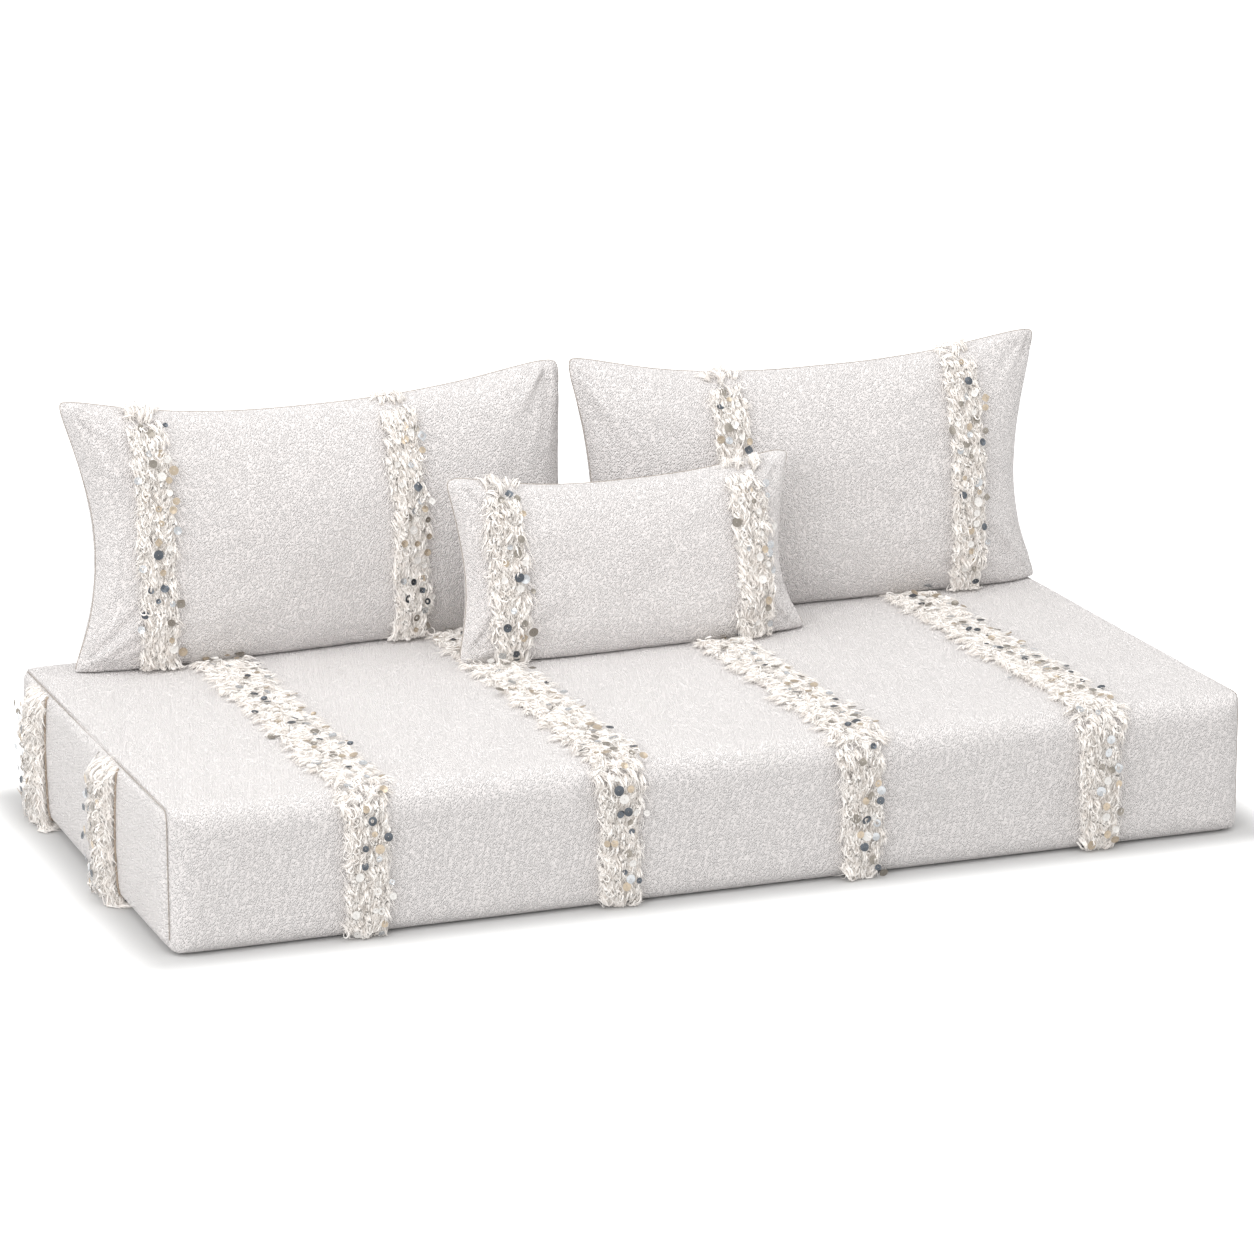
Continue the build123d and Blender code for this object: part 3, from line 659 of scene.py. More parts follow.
wadding_white = filling_material("wadding_white", (0.88, 0.88, 0.86), 0.006, 0.0015)
foam_cream = filling_material("foam_cream", (0.86, 0.80, 0.62), 0.0018, 0.0004)
coarse_points, coarse_faces = box_grid(
    stations(-seat_half_width, seat_half_width, inner_grid[0]),
    stations(-seat_half_depth, seat_half_depth, inner_grid[1]), stations(0, seat_height, inner_grid[2]),
)
for inner_name, inner_inset, inner_lump, inner_stuff, inner_slot, inner_node in (
    ("mattress_wadding", wadding_inset, wadding_lump, wadding_white, "wadding_white", "seat_wadding_wrap"),
    ("mattress_foam", foam_inset, 0.0, foam_cream, "foam_cream", "seat_foam_core"),
):
    inner_points = wrap_skin(coarse_points, inner_core_inset, mattress_distance)
    lumps = inner_lump * (fold_noise(inner_points, 0.2, 7) - 1)
    inner_points = inner_points + point_normals(inner_points, coarse_faces) * (lumps - inner_inset)[:, None]
    inner = mesh_piece(inner_name, inner_points, coarse_faces)
    finish_piece(inner, inner_stuff, "seat", inner_node)

# Cushions: two back cushions and a lumbar cushion, loose on the mattress. Each is a front and a back
# panel of the same boucle, sewn round the edge and stuffed, so that its sides pull in between the tips,
# soft folds run out from the tips, and the foot is pressed flat by its own weight.
cushion_grid = 0.0095
seat_surface = 0.2586
blunt_tip = 0.017
seam_wander = 0.004
foot_pressed = 0.02
foot_spread = 0.25
foot_clearance = 0.0004
cushion_thread_radius = 0.0010
stuffing_inset = 0.0042
stuffing_draw = 0.012
# Sizes in the cushion's own frame, then its place, turn and lean, and how far each of its sides is
# drawn in between the tips or reaches past its half width.
cushion_kinds = {
    "left_cushion": dict(
        width=0.96, tip=0.495, middle=0.442, half_thickness=0.084, draw=0.066, foot=0.020,
        place=(-0.440, 0.433), yaw=5, lean=4, bands=(-0.3379, 0.1517), seed=3,
        draw_right=0.018, reach_left=0.016, reach_right=0.026, rise_left=0.013, ear=0.0,
    ),
    "right_cushion": dict(
        width=0.96, tip=0.495, middle=0.442, half_thickness=0.084, draw=0.052, foot=0.020,
        place=(0.520, 0.407), yaw=0, lean=4, bands=(-0.1747, 0.3024), seed=8,
        draw_right=0.060, reach_left=0.0, reach_right=0.013, rise_left=0.015, ear=0.0,
    ),
    "lumbar_cushion": dict(
        width=0.672, tip=0.345, middle=0.305, half_thickness=0.064, draw=0.032, foot=0.016,
        place=(0.080, 0.205), yaw=2, lean=9, bands=(-0.2453, 0.2339), seed=5,
        draw_right=0.042, reach_left=0.006, reach_right=0.016, rise_left=0.006, ear=0.020,
    ),
}


def cushion_stand(kind):
    """The matrix that stands a cushion on the mattress, turned and leaning back."""
    turned = Matrix.Rotation(math.radians(kind["yaw"]), 4, "Z")
    leaning = Matrix.Rotation(math.radians(-kind["lean"]), 4, "X")
    return Matrix.Translation((*kind["place"], seat_surface)) @ turned @ leaning


def finer_at_rim(size):
    """Grid lines from -1 to 1, closer together towards both ends."""
    even = np.linspace(-1, 1, round(size / cushion_grid) + 1)
    return np.sin(even * math.pi / 2) * 0.4 + even * 0.6


def on_rim(u, v):
    """Where a panel's grid lies on the seam."""
    return np.minimum(1 - np.abs(u), 1 - np.abs(v)) <= 1e-9


def cushion_side(kind, front):
    """Points of one panel in the cushion's own frame, on a grid that is finer towards the seam."""
    u, v = np.meshgrid(finer_at_rim(kind["width"]), finer_at_rim(kind["tip"]), indexing="ij")
    blunt = (np.abs(u) * np.abs(v)) ** 12
    drawn = np.where(u > 0, kind["draw_right"], kind["draw"])
    half_width = kind["width"] / 2 + np.where(u > 0, kind["reach_right"], kind["reach_left"])
    half_width -= drawn * (1 - v ** 2) * (1 - 0.25 * v)
    half_width += np.where(u > 0, kind["ear"], 0) * ((1 - v) / 2) ** 5
    x = u * (half_width - 0.018 * blunt)
    top = kind["middle"] + (kind["tip"] - kind["middle"]) * np.abs(u) ** 2.4 - blunt_tip * blunt
    top += np.where(u < 0, kind["rise_left"], 0) * np.abs(u) ** 3
    low = -kind["foot"] * (1 - 0.35 * np.abs(u) ** 3) + 0.008 * blunt
    z = low + (top - low) * (v + 1) / 2
    belly = v + 0.16 * (1 - v ** 2)
    thick = (1 - np.abs(u) ** 6) ** 0.48 * np.maximum(1 - np.abs(belly) ** 2.7, 0) ** 0.5
    thick = np.where(on_rim(u, v), 0, thick)
    y = kind["half_thickness"] * thick * (-1 if front else 1)
    return np.stack([x, y, z], axis=-1), u, v


def tip_fold(u, v, x, z, kind, seed):
    """How far the folds that run from the nearest tip move one point."""
    tip_x = math.copysign(kind["width"] / 2, u)
    tip_z = kind["tip"] if v > 0 else 0
    away = math.hypot(x - tip_x, z - tip_z)
    turn = math.atan2(abs(z - tip_z), abs(x - tip_x) + 1e-6)
    corner = seed + (1 if u > 0 else 0) + (2 if v > 0 else 0)
    fold = noise.noise(Vector((turn * 4.2, away * 5, corner * 3.7)))
    fold += 0.5 * noise.noise(Vector((turn * 9.5, away * 7, corner * 5.1)))
    return 0.017 * fold * (math.exp(-away / 0.15) * min(away / 0.05, 1))


def soft_folds(points, u, v, kind, front):
    """How far a panel's points stand out or in: folds that run from the tips, pleats along the seam."""
    seed = kind["seed"] + (0 if front else 40)
    from_edge = np.minimum((1 - np.abs(u)) * kind["width"] / 2, (1 - np.abs(v)) * kind["tip"] / 2)
    moved = np.zeros(u.shape)
    for spot in np.ndindex(u.shape):
        x, _, z = points[spot]
        moved[spot] += tip_fold(u[spot], v[spot], x, z, kind, seed)
        upright = abs(u[spot]) > abs(v[spot])
        pleat = noise.noise(Vector(((z if upright else x) * 34, seed * 2.7, 0.4 if upright else 4)))
        edge = from_edge[spot]
        moved[spot] += 0.0042 * pleat * math.exp(-edge / 0.03) * min(edge / 0.004, 1)
        moved[spot] += 0.0065 * noise.noise(Vector((x * 4.2, z * 5.0, seed * 1.9)))
        moved[spot] += 0.0024 * noise.noise(Vector((x * 13, z * 15, seed * 2.3)))
    return moved * np.clip(from_edge / 0.012, 0, 1)


def cushion_panels(kind, place):
    """Points of the front and back panels, which meet at the seam, in the room's frame."""
    stand = np.array(cushion_stand(kind))
    panels = []
    for front, outward in ((True, -1), (False, 1)):
        points, u, v = cushion_side(kind, front)
        points[..., 1] += soft_folds(points, u, v, kind, front) * outward
        wander = noise_at((x * 9, z * 9, kind["seed"]) for x, _, z in points.reshape(-1, 3))
        points[..., 1] += np.where(on_rim(u, v), seam_wander * wander.reshape(u.shape), 0)
        flat = points.reshape(-1, 3) @ stand[:3, :3].T + stand[:3, 3]
        push = outward * np.clip(seat_surface - flat[:, 2], 0, foot_pressed) * foot_spread
        flat = flat + stand[:3, 1] * push[:, None] * [1, 1, 0]
        flat[:, 2] = np.maximum(flat[:, 2], seat_surface + foot_clearance)
        if not front:
            flat = settle_on_zip(flat, place)
        panels.append(flat.reshape(points.shape))
    return panels


def grid_quads(shape, flip):
    """Quads over a grid of points."""
    index = np.arange(shape[0] * shape[1]).reshape(shape)
    corners = [index[:-1, :-1], index[1:, :-1], index[1:, 1:], index[:-1, 1:]]
    quads = np.stack(corners, axis=-1).reshape(-1, 4)
    return quads[:, ::-1] if flip else quads


cushion_trees = {}
for cushion_name, kind in cushion_kinds.items():
    place = zip_frame(cushion_name)
    panels = cushion_panels(kind, place)
    together, faces = [], []
    for panel_points, side in zip(panels, ("front", "back")):
        quads = grid_quads(panel_points.shape[:2], flip=side == "back")
        flat = panel_points.reshape(-1, 3)
        faces += (quads + sum(len(part) for part in together)).tolist()
        together.append(flat)
        panel = mesh_piece(f"{cushion_name}_{side}_cover", flat, quads)
        finish_piece(panel, boucle, cushion_name, f"{cushion_name}_cover_{side}")
        if side == "back":
            cut_slit(panel, place)
    rim = panels[0]
    seam_run = np.concatenate([rim[0, 2:], rim[1:, -1], rim[-1, -2:1:-1]])
    # The cushion's edge seam gets the same dark thread: partly real thread, partly painted shadow along the
    # seam.
    cushion_seam = smooth_tube(f"{cushion_name}_seam_thread_and_painted_shadow", seam_run, cushion_thread_radius)
    finish_piece(cushion_seam, seam_thread_and_painted_shadow, cushion_name)
    together = np.concatenate(together)
    cushion_trees[cushion_name] = BVHTree.FromPolygons(together.tolist(), faces)
    stuffing_points = together - point_normals(together, faces) * stuffing_inset
    stuffing_points = stuffing_points + (together.mean(axis=0) - stuffing_points) * stuffing_draw
    stuffing = mesh_piece(f"{cushion_name}_stuffing", stuffing_points, faces)
    finish_piece(stuffing, wadding_white, cushion_name, f"{cushion_name}_filling")

# Fringe bands: tufts of undyed wool yarn, knotted in rows on a narrow band that is sewn on. A tuft is a
# few thick locks that hang over the next row, some of them looped back, with fine loose fibres between.
lock_steps = 7
seat_tree = BVHTree.FromPolygons(seat_points.tolist(), seat_faces)
seat_band_width = 0.084
seat_band_places = (-0.656, -0.202, 0.246, 0.704)
seat_band_stretches = (0.30, 0.68, 1.06)
end_band_width = 0.080
end_band_places = (-0.1455, 0.3297)
end_band_lengths = {-1: 0.243, 1: 0.205}
end_band_start = 0.012
band_edge_radius = 0.0019
cushion_band_width = 0.065
cushion_band_start = 0.010
# How long a tuft is and how far it stands out, for each kind of band and for what a cushion presses.
seat_pile = (0.033, 0.021)
pressed_pile = (0.024, 0.0012)
end_pile = (0.044, 0.032)
cushion_pile = (0.035, 0.022)
# A tuft's locks, then its loose fibres: how many, how thick, their share of the tuft's length, how far
# they fan out, curl and stray from its root.
strand_kinds = ((5, 0.0037, 1.0, 0.09, 0.0008, 0.0024), (9, 0.0010, 1.10, 0.26, 0.0020, 0.0044))
yarn_loop_size = 0.011
yarn_loop_width = 0.0031
root_height = 0.0012
yarn_loop_height = 0.002
level_clearance = 0.0027
hem_height = 0.055
# Painted glow: light of the wool's own, standing in for light that passes through the loose fibres, which a
# solid tube would block.
wool_painted_glow = 0.10


def nearest_skin(points, tree):
    """For each point the nearest place on a skin, and the way out from it."""
    places, ways = np.empty(points.shape), np.empty(points.shape)
    for number, point in enumerate(points):
        place, normal, _, _ = tree.find_nearest(point)
        places[number], ways[number] = place, normal
    return places, ways


def lay_strands(paths, heights, tree):
    """Moves each strand's points to their own height over the skin, so that it follows the skin's curves."""
    flat = paths.reshape(-1, 3)
    places, ways = nearest_skin(flat, tree)
    return (places + ways * heights.reshape(-1, 1)).reshape(paths.shape)


def tubes(paths, widths):
    """Closed three-sided tubes along the paths, tapered to the tip: points and faces."""
    count, steps = paths.shape[:2]
    along = np.gradient(paths, axis=1)
    along /= np.linalg.norm(along, axis=2, keepdims=True) + 1e-9
    guide = np.where(np.abs(along[:, :1, 2:]) > 0.8, np.array([1.0, 0.3, 0]), np.array([0, 0.3, 1.0]))
    side = np.cross(along, np.broadcast_to(guide, along.shape))
    side /= np.linalg.norm(side, axis=2, keepdims=True) + 1e-9
    across = np.cross(along, side)
    taper = np.interp(np.linspace(0, 1, steps), (0, 0.2, 0.6, 1), (0.8, 1, 0.95, 0.2))
    rings = []
    for turn in (0, 2 * math.pi / 3, 4 * math.pi / 3):
        way = side * math.cos(turn) + across * math.sin(turn)
        rings.append(paths + way * (widths[:, None] * taper[None, :] / 2)[..., None])
    points = np.stack(rings, axis=2).reshape(count, steps * 3, 3)
    quads = []
    for step in range(steps - 1):
        for corner in range(3):
            other = (corner + 1) % 3
            quads.append((step * 3 + corner, step * 3 + other, step * 3 + 3 + other, step * 3 + 3 + corner))
    ends = [(2, 1, 0), tuple(steps * 3 - 3 + corner for corner in range(3))]
    start = np.arange(count)[:, None, None] * steps * 3
    quads = (np.array(quads)[None] + start).reshape(-1, 4)
    ends = (np.array(ends)[None] + start).reshape(-1, 3)
    return points.reshape(-1, 3), quads, ends


def strand_piece(name, groups):
    """One piece from several groups of tubes."""
    points, corners, sizes, offset = [], [], [], 0
    for group_points, quads, ends in groups:
        points.append(group_points)
        corners += [(quads + offset).ravel(), (ends + offset).ravel()]
        sizes += [np.full(len(quads), 4), np.full(len(ends), 3)]
        offset += len(group_points)
    points, corners, sizes = np.concatenate(points), np.concatenate(corners), np.concatenate(sizes)
    mesh = bpy.data.meshes.new(name)
    mesh.vertices.add(len(points))
    mesh.vertices.foreach_set("co", points.ravel())
    mesh.loops.add(len(corners))
    mesh.loops.foreach_set("vertex_index", corners)
    mesh.polygons.add(len(sizes))
    mesh.polygons.foreach_set("loop_start", np.concatenate([[0], np.cumsum(sizes)[:-1]]))
    mesh.polygons.foreach_set("use_smooth", np.ones(len(sizes), dtype=bool))
    mesh.update(calc_edges=True)
    mesh.validate()
    piece = bpy.data.objects.new(name, mesh)
    bpy.context.collection.objects.link(piece)
    return piece


def unit(ways):
    """The ways at length one."""
    return ways / (np.linalg.norm(ways, axis=-1, keepdims=True) + 1e-9)


def tuft_paths(roots, normals, falls, length, lift, fan, curl):
    """Paths of tufts: each leaves its root, stands out by its lift and lies along its fall, with a curl."""
    count = len(roots)
    falls = unit(falls - normals * (falls * normals).sum(axis=1, keepdims=True))
    sides = np.cross(normals, falls)
    t = np.linspace(0, 1, lock_steps)[None, :]
    lengths = length * draw.uniform(0.6, 1.15, (count, 1))
    spread = draw.normal(0, fan, (count, 1))
    phase, turns = draw.uniform(0, 6.3, (count, 1)), draw.uniform(0.5, 1.5, (count, 1))
    wave = np.sin(6.283 * turns * t + phase) - np.sin(phase)
    sway = curl * draw.uniform(0.3, 1.3, (count, 1)) * wave * t ** 0.5
    along = lengths * t * (1 - 0.12 * t)
    across = lengths * spread * t ** 1.4 + sway
    stand = lift * draw.uniform(0.35, 1.0, (count, 1))
    tip = draw.uniform(0.15, 0.9, (count, 1))
    rising = np.sin(np.pi * np.clip(t, 0, 0.5)) * (t < 0.5)
    sinking = (t >= 0.5) * (1 - (1 - tip) * np.clip(2 * t - 1, 0, 1) ** 1.5)
    heights = root_height + stand * (rising + sinking)
    paths = roots[:, None] + falls[:, None] * along[..., None] + sides[:, None] * across[..., None]
    return paths, heights


def loop_paths(roots, normals, falls, size, lift):
    """Paths of yarn loops that turn back to their root, a ring of a centimetre or so."""
    count = len(roots)
    falls = unit(falls - normals * (falls * normals).sum(axis=1, keepdims=True))
    sides = np.cross(normals, falls)
    steps = lock_steps + 3
    turn = np.linspace(0, 1, steps)[None, :] * 6.283 * draw.uniform(0.78, 0.95, (count, 1))
    radius = size / 2 * draw.uniform(0.7, 1.3, (count, 1))
    along = radius * (1 - np.cos(turn)) * 1.25
    across = radius * np.sin(turn) * draw.choice((-1, 1), (count, 1))
    heights = yarn_loop_height + lift * draw.uniform(0.6, 1.1, (count, 1)) * (0.55 + 0.45 * np.sin(turn / 2))
    paths = roots[:, None] + falls[:, None] * along[..., None] + sides[:, None] * across[..., None]
    return paths, heights


def band_rows(length, width, row_pitch, tuft_pitch):
    """Places of the tufts in a band: how far along it, and across it from its middle."""
    rows, places = max(2, round(length / row_pitch)), []
    per_row = max(3, round(width / tuft_pitch))
    for row in range(rows):
        for number in range(per_row):
            places.append(((row + 0.5) * length / rows, (number + 0.5) * width / per_row - width / 2))
    places = np.array(places)
    places[:, 0] += draw.normal(0, row_pitch * 0.22, len(places))
    places[:, 1] += draw.normal(0, tuft_pitch * 0.3, len(places))
    return places


def seat_line(along):
    """Where a seat band runs: depth and height, from the floor up the front, over and down the back."""
    corner = math.pi / 2 * top_radius
    rise = seat_height - top_radius
    flat_end = seat_half_depth - top_radius
    first, second, third = rise, rise + corner, rise + corner + 2 * flat_end
    out = np.empty((len(along), 2))
    for number, s in enumerate(along):
        if s < first:
            out[number] = (-seat_half_depth, s)
        elif s < second:
            turn = (s - first) / top_radius
            out[number] = (-flat_end - top_radius * math.cos(turn), rise + top_radius * math.sin(turn))
        elif s < third:
            out[number] = (-flat_end + s - second, seat_height)
        elif s < third + corner:
            turn = (s - third) / top_radius
            out[number] = (flat_end + top_radius * math.sin(turn), rise + top_radius * math.cos(turn))
        else:
            out[number] = (seat_half_depth, rise - (s - third - corner))
    return out


def headroom(points):
    """The free height over points on the mattress top, below the cushions that stand there."""
    free = np.full(len(points), 1.0)
    for number, point in enumerate(points):
        if point[2] < seat_height - 0.01:
            continue
        start = Vector((point[0], point[1], seat_height - 0.002))
        for tree in cushion_trees.values():
            _, _, _, far = tree.ray_cast(start, Vector((0, 0, 1)), 0.5)
            if far is not None:
                free[number] = min(free[number], far - 0.003)
    return free


def wool_yarn():
    """Undyed wool: creamy white, matt, with a soft bloom, a little warm variation from lock to lock, and a
    faint painted glow of its own.
    """
    wool, tree, skin = new_finish("wool_yarn")
    place = place_node(tree, "TexCoord").outputs["Object"]
    locks = place_node(tree, "TexNoise", {"Vector": place, "Scale": 70.0, "Detail": 3.0}).outputs["Fac"]
    tone = place_node(tree, "ValToRGB", {"Fac": locks})
    shaded, lit = tone.color_ramp.elements
    shaded.position = 0.30
    shaded.color = (0.84, 0.785, 0.74, 1)
    lit.position = 0.56
    lit.color = (0.93, 0.898, 0.868, 1)
    # The emission is painted glow: light the wool gives off though it is no lamp.
    fill_inputs(tree, skin, {
        "Base Color": tone.outputs["Color"], "Roughness": 0.9, "Specular IOR Level": 0.2,
        "Sheen Weight": 0.35, "Sheen Roughness": 0.5,
        "Emission Color": (1, 0.96, 0.90, 1), "Emission Strength": wool_painted_glow,
    })
    return wool


wool = wool_yarn()
band_thread = sewing_thread("band_thread", (0.52, 0.42, 0.33))


def keep_over(paths, level, outward):
    """Points that would pass below a level spread out over it instead, as a skirt of tufts does."""
    level = level + level_clearance
    below = np.maximum(level - paths[..., 2], 0)
    paths = paths + outward * below[..., None] * 0.8
    raised = level + 0.25 * below * draw.uniform(0, 1, below.shape)
    paths[..., 2] = np.where(below > 0, raised, paths[..., 2])
    return paths


def band_groups(tufts, half_width, tree, pile, level=None, outward=None):
    """The locks, loops and loose fibres of a band, given its tufts' roots, ways out, falls and places.

    A band that ends on a level, which is the floor or the seat, flares there and spreads outward.
    """
    roots, normals, falls, across = tufts
    length, lift = pile

    def laid(paths, heights):
        """Paths laid on the skin, clear of the level that the band ends on."""
        paths = lay_strands(paths, heights, tree)
        return paths if level is None else keep_over(paths, level, outward)

    groups = []
    flat = np.abs(normals[:, 2]) > 0.7
    tuft_turn = draw.normal(0, 0.20, (len(roots), 3))
    over_level = np.full(len(roots), hem_height) if level is None else roots[:, 2] - level
    flare = np.clip(1 - over_level / hem_height, 0, 1)
    tuft_lift = draw.uniform(0.55, 1.0, len(roots))
    for copies, width, scale, fan, curl, stray in strand_kinds:
        many = np.repeat(np.arange(len(roots)), copies)
        spot = roots[many] + draw.normal(0, stray, (len(many), 3))
        sides = np.cross(normals[many], unit(falls[many]))
        spread = -across[many] / half_width * (draw.uniform(0.0, 0.4, len(many)) + 1.5 * flare[many])
        way = unit(falls[many]) + sides * spread[:, None] + tuft_turn[many]
        way += draw.normal(0, 0.07, (len(many), 3))
        paths, heights = tuft_paths(spot, normals[many], way, length * scale, lift, fan, curl)
        gather = np.linspace(0, 0.75, paths.shape[1])[None, :, None]
        paths = paths - (spot - roots[many])[:, None] * gather
        raised = np.where(flat[many], 0.62, 1.0) * tuft_lift[many] * (1 + 0.35 * flare[many])
        paths = laid(paths, heights * raised[:, None])
        stout = np.where(flat[many], 0.9, 1.25)
        groups.append(tubes(paths, draw.uniform(0.75, 1.25, len(paths)) * stout * width))
    looped = (across < -half_width * 0.45) & (draw.uniform(0, 1, len(roots)) < 0.45)
    looped |= draw.uniform(0, 1, len(roots)) < 0.05
    spot = roots[looped] + draw.normal(0, 0.002, (looped.sum(), 3))
    way = falls[looped] + draw.normal(0, 0.4, (looped.sum(), 3))
    paths, heights = loop_paths(spot, normals[looped], way, yarn_loop_size, lift)
    paths = laid(paths, heights * np.where(flat[looped], 0.7, 1.0)[:, None])
    groups.append(tubes(paths, draw.uniform(0.85, 1.2, len(paths)) * yarn_loop_width))
    return groups


def seat_spots(middle, along, across):
    """Places on a seat band, and the way out from the skin there."""
    start = np.column_stack([middle + across, seat_line(along)])
    return nearest_skin(start, seat_tree)


def end_spots(sign, middle, along, across):
    """Places on a band at one end of the mattress, and the way out from the skin there."""
    side = np.full(len(along), sign * seat_half_width)
    return nearest_skin(np.column_stack([side, middle - sign * across, end_band_start + along]), seat_tree)


def cushion_spots(kind, tree, middle, along, across):
    """Places on a band down a cushion's front, and the way out from the cover there."""
    stand = np.array(cushion_stand(kind))
    near = np.column_stack([middle + across, np.full(len(along), -0.3), cushion_band_start + along])
    ahead = Vector(stand[:3, 1])
    roots, normals = np.empty((len(along), 3)), np.empty((len(along), 3))
    for number, point in enumerate(near @ stand[:3, :3].T + stand[:3, 3]):
        place, normal, _, _ = tree.ray_cast(Vector(point), ahead, 1.0)
        if place is None:
            place, normal, _, _ = tree.find_nearest(Vector(point) + ahead * 0.3)
        roots[number], normals[number] = place, normal
    return roots, normals


seat_band_length = 2 * (seat_height - top_radius) + math.pi * top_radius
seat_band_length += 2 * (seat_half_depth - top_radius) - 0.092


def cushion_band_length(kind, middle):
    """The height of a band down a cushion's front."""
    share = abs(middle) / (kind["width"] / 2)
    return kind["middle"] + (kind["tip"] - kind["middle"]) * share ** 2.4 - 0.012


for number, middle in enumerate(seat_band_places):
    places = band_rows(seat_band_length - 0.03, seat_band_width, 0.017, 0.0085)
    places[:, 0] = np.clip(places[:, 0] + 0.02, 0.004, seat_band_length)
    upright = (places[:, 0] < seat_height - top_radius) | (places[:, 0] > seat_band_length - 0.16)
    places[:, 1] *= np.where(upright, 0.86, 1.0)
    roots, normals = seat_spots(middle, places[:, 0], places[:, 1])
    falls = np.tile([0.0, 0, -1], (len(roots), 1))
    lowest = places[:, 0] < 0.024
    falls[lowest, 0] = places[lowest, 1] / seat_band_width * draw.uniform(0.5, 3.5, lowest.sum())
    level = normals[:, 2] > 0.75
    lean = np.sign(places[:, 1]) * 0.25 + draw.normal(0, 0.7, len(roots))
    forward = draw.uniform(0.2, 1.1, len(roots))
    falls[level] = np.column_stack([lean, -forward, np.zeros(len(roots))])[level]
    low = headroom(roots) < 0.03
    tufts = (roots, normals, falls, places[:, 1])
    stretches = np.digitize(places[:, 0], seat_band_stretches)
    for stretch, stretch_name in enumerate(("front", "near", "far", "back")):
        loose = (stretches == stretch) & ~low
        pressed = (stretches == stretch) & low
        groups = band_groups(
            [part[loose] for part in tufts], seat_band_width / 2, seat_tree, seat_pile,
            0.0, np.array([0, -1.0, 0]),
        )
        if pressed.any():
            chosen = [part[pressed] for part in tufts]
            groups += band_groups(chosen, seat_band_width / 2, seat_tree, pressed_pile)
        piece = strand_piece(f"seat_wool_{number + 1}_{stretch_name}", groups)
        node = f"seat_fringe_{number + 1}" if stretch_name == "front" else None
        finish_piece(piece, wool, "seat", node)

for side, sign in (("left", -1), ("right", 1)):
    for number, middle in enumerate(end_band_places):
        places = band_rows(end_band_lengths[sign], end_band_width, 0.016, 0.008)
        roots, normals = end_spots(sign, middle, places[:, 0], places[:, 1])
        falls = np.tile([0.0, 0, -1], (len(roots), 1))
        groups = band_groups(
            (roots, normals, falls, places[:, 1]), end_band_width / 2, seat_tree, end_pile,
            0.0, np.array([sign * 0.3, 0, 0.0]),
        )
        piece = strand_piece(f"end_wool_{side}_{number + 1}", groups)
        finish_piece(piece, wool, "seat", f"end_fringe_{side}_{number + 1}")
        rises = np.arange(0.0, end_band_lengths[sign], seam_step)
        edge = np.full(len(rises), sign * (end_band_width / 2 + 0.004))
        edge_line, edge_ways = end_spots(sign, middle, rises, edge)
        edge_line = edge_line + edge_ways * root_height
        stitching = smooth_tube(f"end_band_edge_{side}_{number + 1}", edge_line, band_edge_radius)
        finish_piece(stitching, band_thread, "seat")

for cushion_name, kind in cushion_kinds.items():
    tree = cushion_trees[cushion_name]
    outward = -np.array(cushion_stand(kind))[:3, 1] * [1, 1, 0]
    for number, middle in enumerate(kind["bands"]):
        band_length = cushion_band_length(kind, middle)
        places = band_rows(band_length, cushion_band_width, 0.016, 0.008)
        roots, normals = cushion_spots(kind, tree, middle, places[:, 0], places[:, 1])
        falls = np.tile([0.0, 0, -1], (len(roots), 1))
        lowest = places[:, 0] < 0.024
        falls[lowest, 0] = places[lowest, 1] / cushion_band_width * draw.uniform(0.5, 4.5, lowest.sum())
        highest = places[:, 0] > band_length - 0.020
        falls[highest] = draw.normal((0, 0.35, 0.8), 0.35, (highest.sum(), 3))
        groups = band_groups(
            (roots, normals, falls, places[:, 1]), cushion_band_width / 2, tree, cushion_pile,
            seat_surface, outward,
        )
        piece = strand_piece(f"{cushion_name}_wool_{number + 1}", groups)
        finish_piece(piece, wool, cushion_name, f"{cushion_name}_fringe_{number + 1}")

# Sequins: pressed discs of thin metal and shell, slightly cupped, sewn on the tufts through a hole in
# the middle. Most are round, some are rings with a wide hole, a few are square.
sequin_turns = 16
sequin_wall = 0.0005
sequin_cup = 0.0009
sequin_hole = 0.0008
sequin_radius = 0.0068
sequin_radius_spread = 0.0012
sequin_radius_limits = (0.0048, 0.0092)
sequin_clearance = 0.0105
sequin_pitch = 0.0145
sequins_per_metre = 84
ring_share = 0.14
ring_hole_share = 0.42
square_share = 0.12
band_sequin_height = 0.017
end_sequin_height = 0.028


def worn_finish(name, tone, metallic, roughness, worn_share=0.62, uneven=0.3, scale=260.0, detail=3.0):
    """Metal, shell or nylon whose tone and shine change a little with faint cloudy wear."""
    finish, tree, skin = new_finish(name)
    wear = wear_skin(tree, skin, tone, worn_share, scale, detail)
    rub = place_node(tree, "MapRange", {
        "Value": wear, "To Min": roughness * (1 - uneven), "To Max": roughness * (1 + uneven),
    }).outputs["Result"]
    fill_inputs(tree, skin, {"Roughness": rub, "Metallic": metallic})
    return finish


sequin_looks = [
    worn_finish("sequin_silver", (0.66, 0.68, 0.70), 0.85, 0.28),
    worn_finish("sequin_gunmetal", (0.13, 0.145, 0.165), 0.85, 0.28),
    worn_finish("sequin_brass", (0.62, 0.52, 0.40), 0.75, 0.34),
    worn_finish("sequin_pearl", (0.93, 0.91, 0.88), 0.1, 0.30),
    worn_finish("sequin_smoke", (0.34, 0.31, 0.27), 0.7, 0.32),
]
sequin_look_shares = (0.20, 0.16, 0.25, 0.24, 0.15)


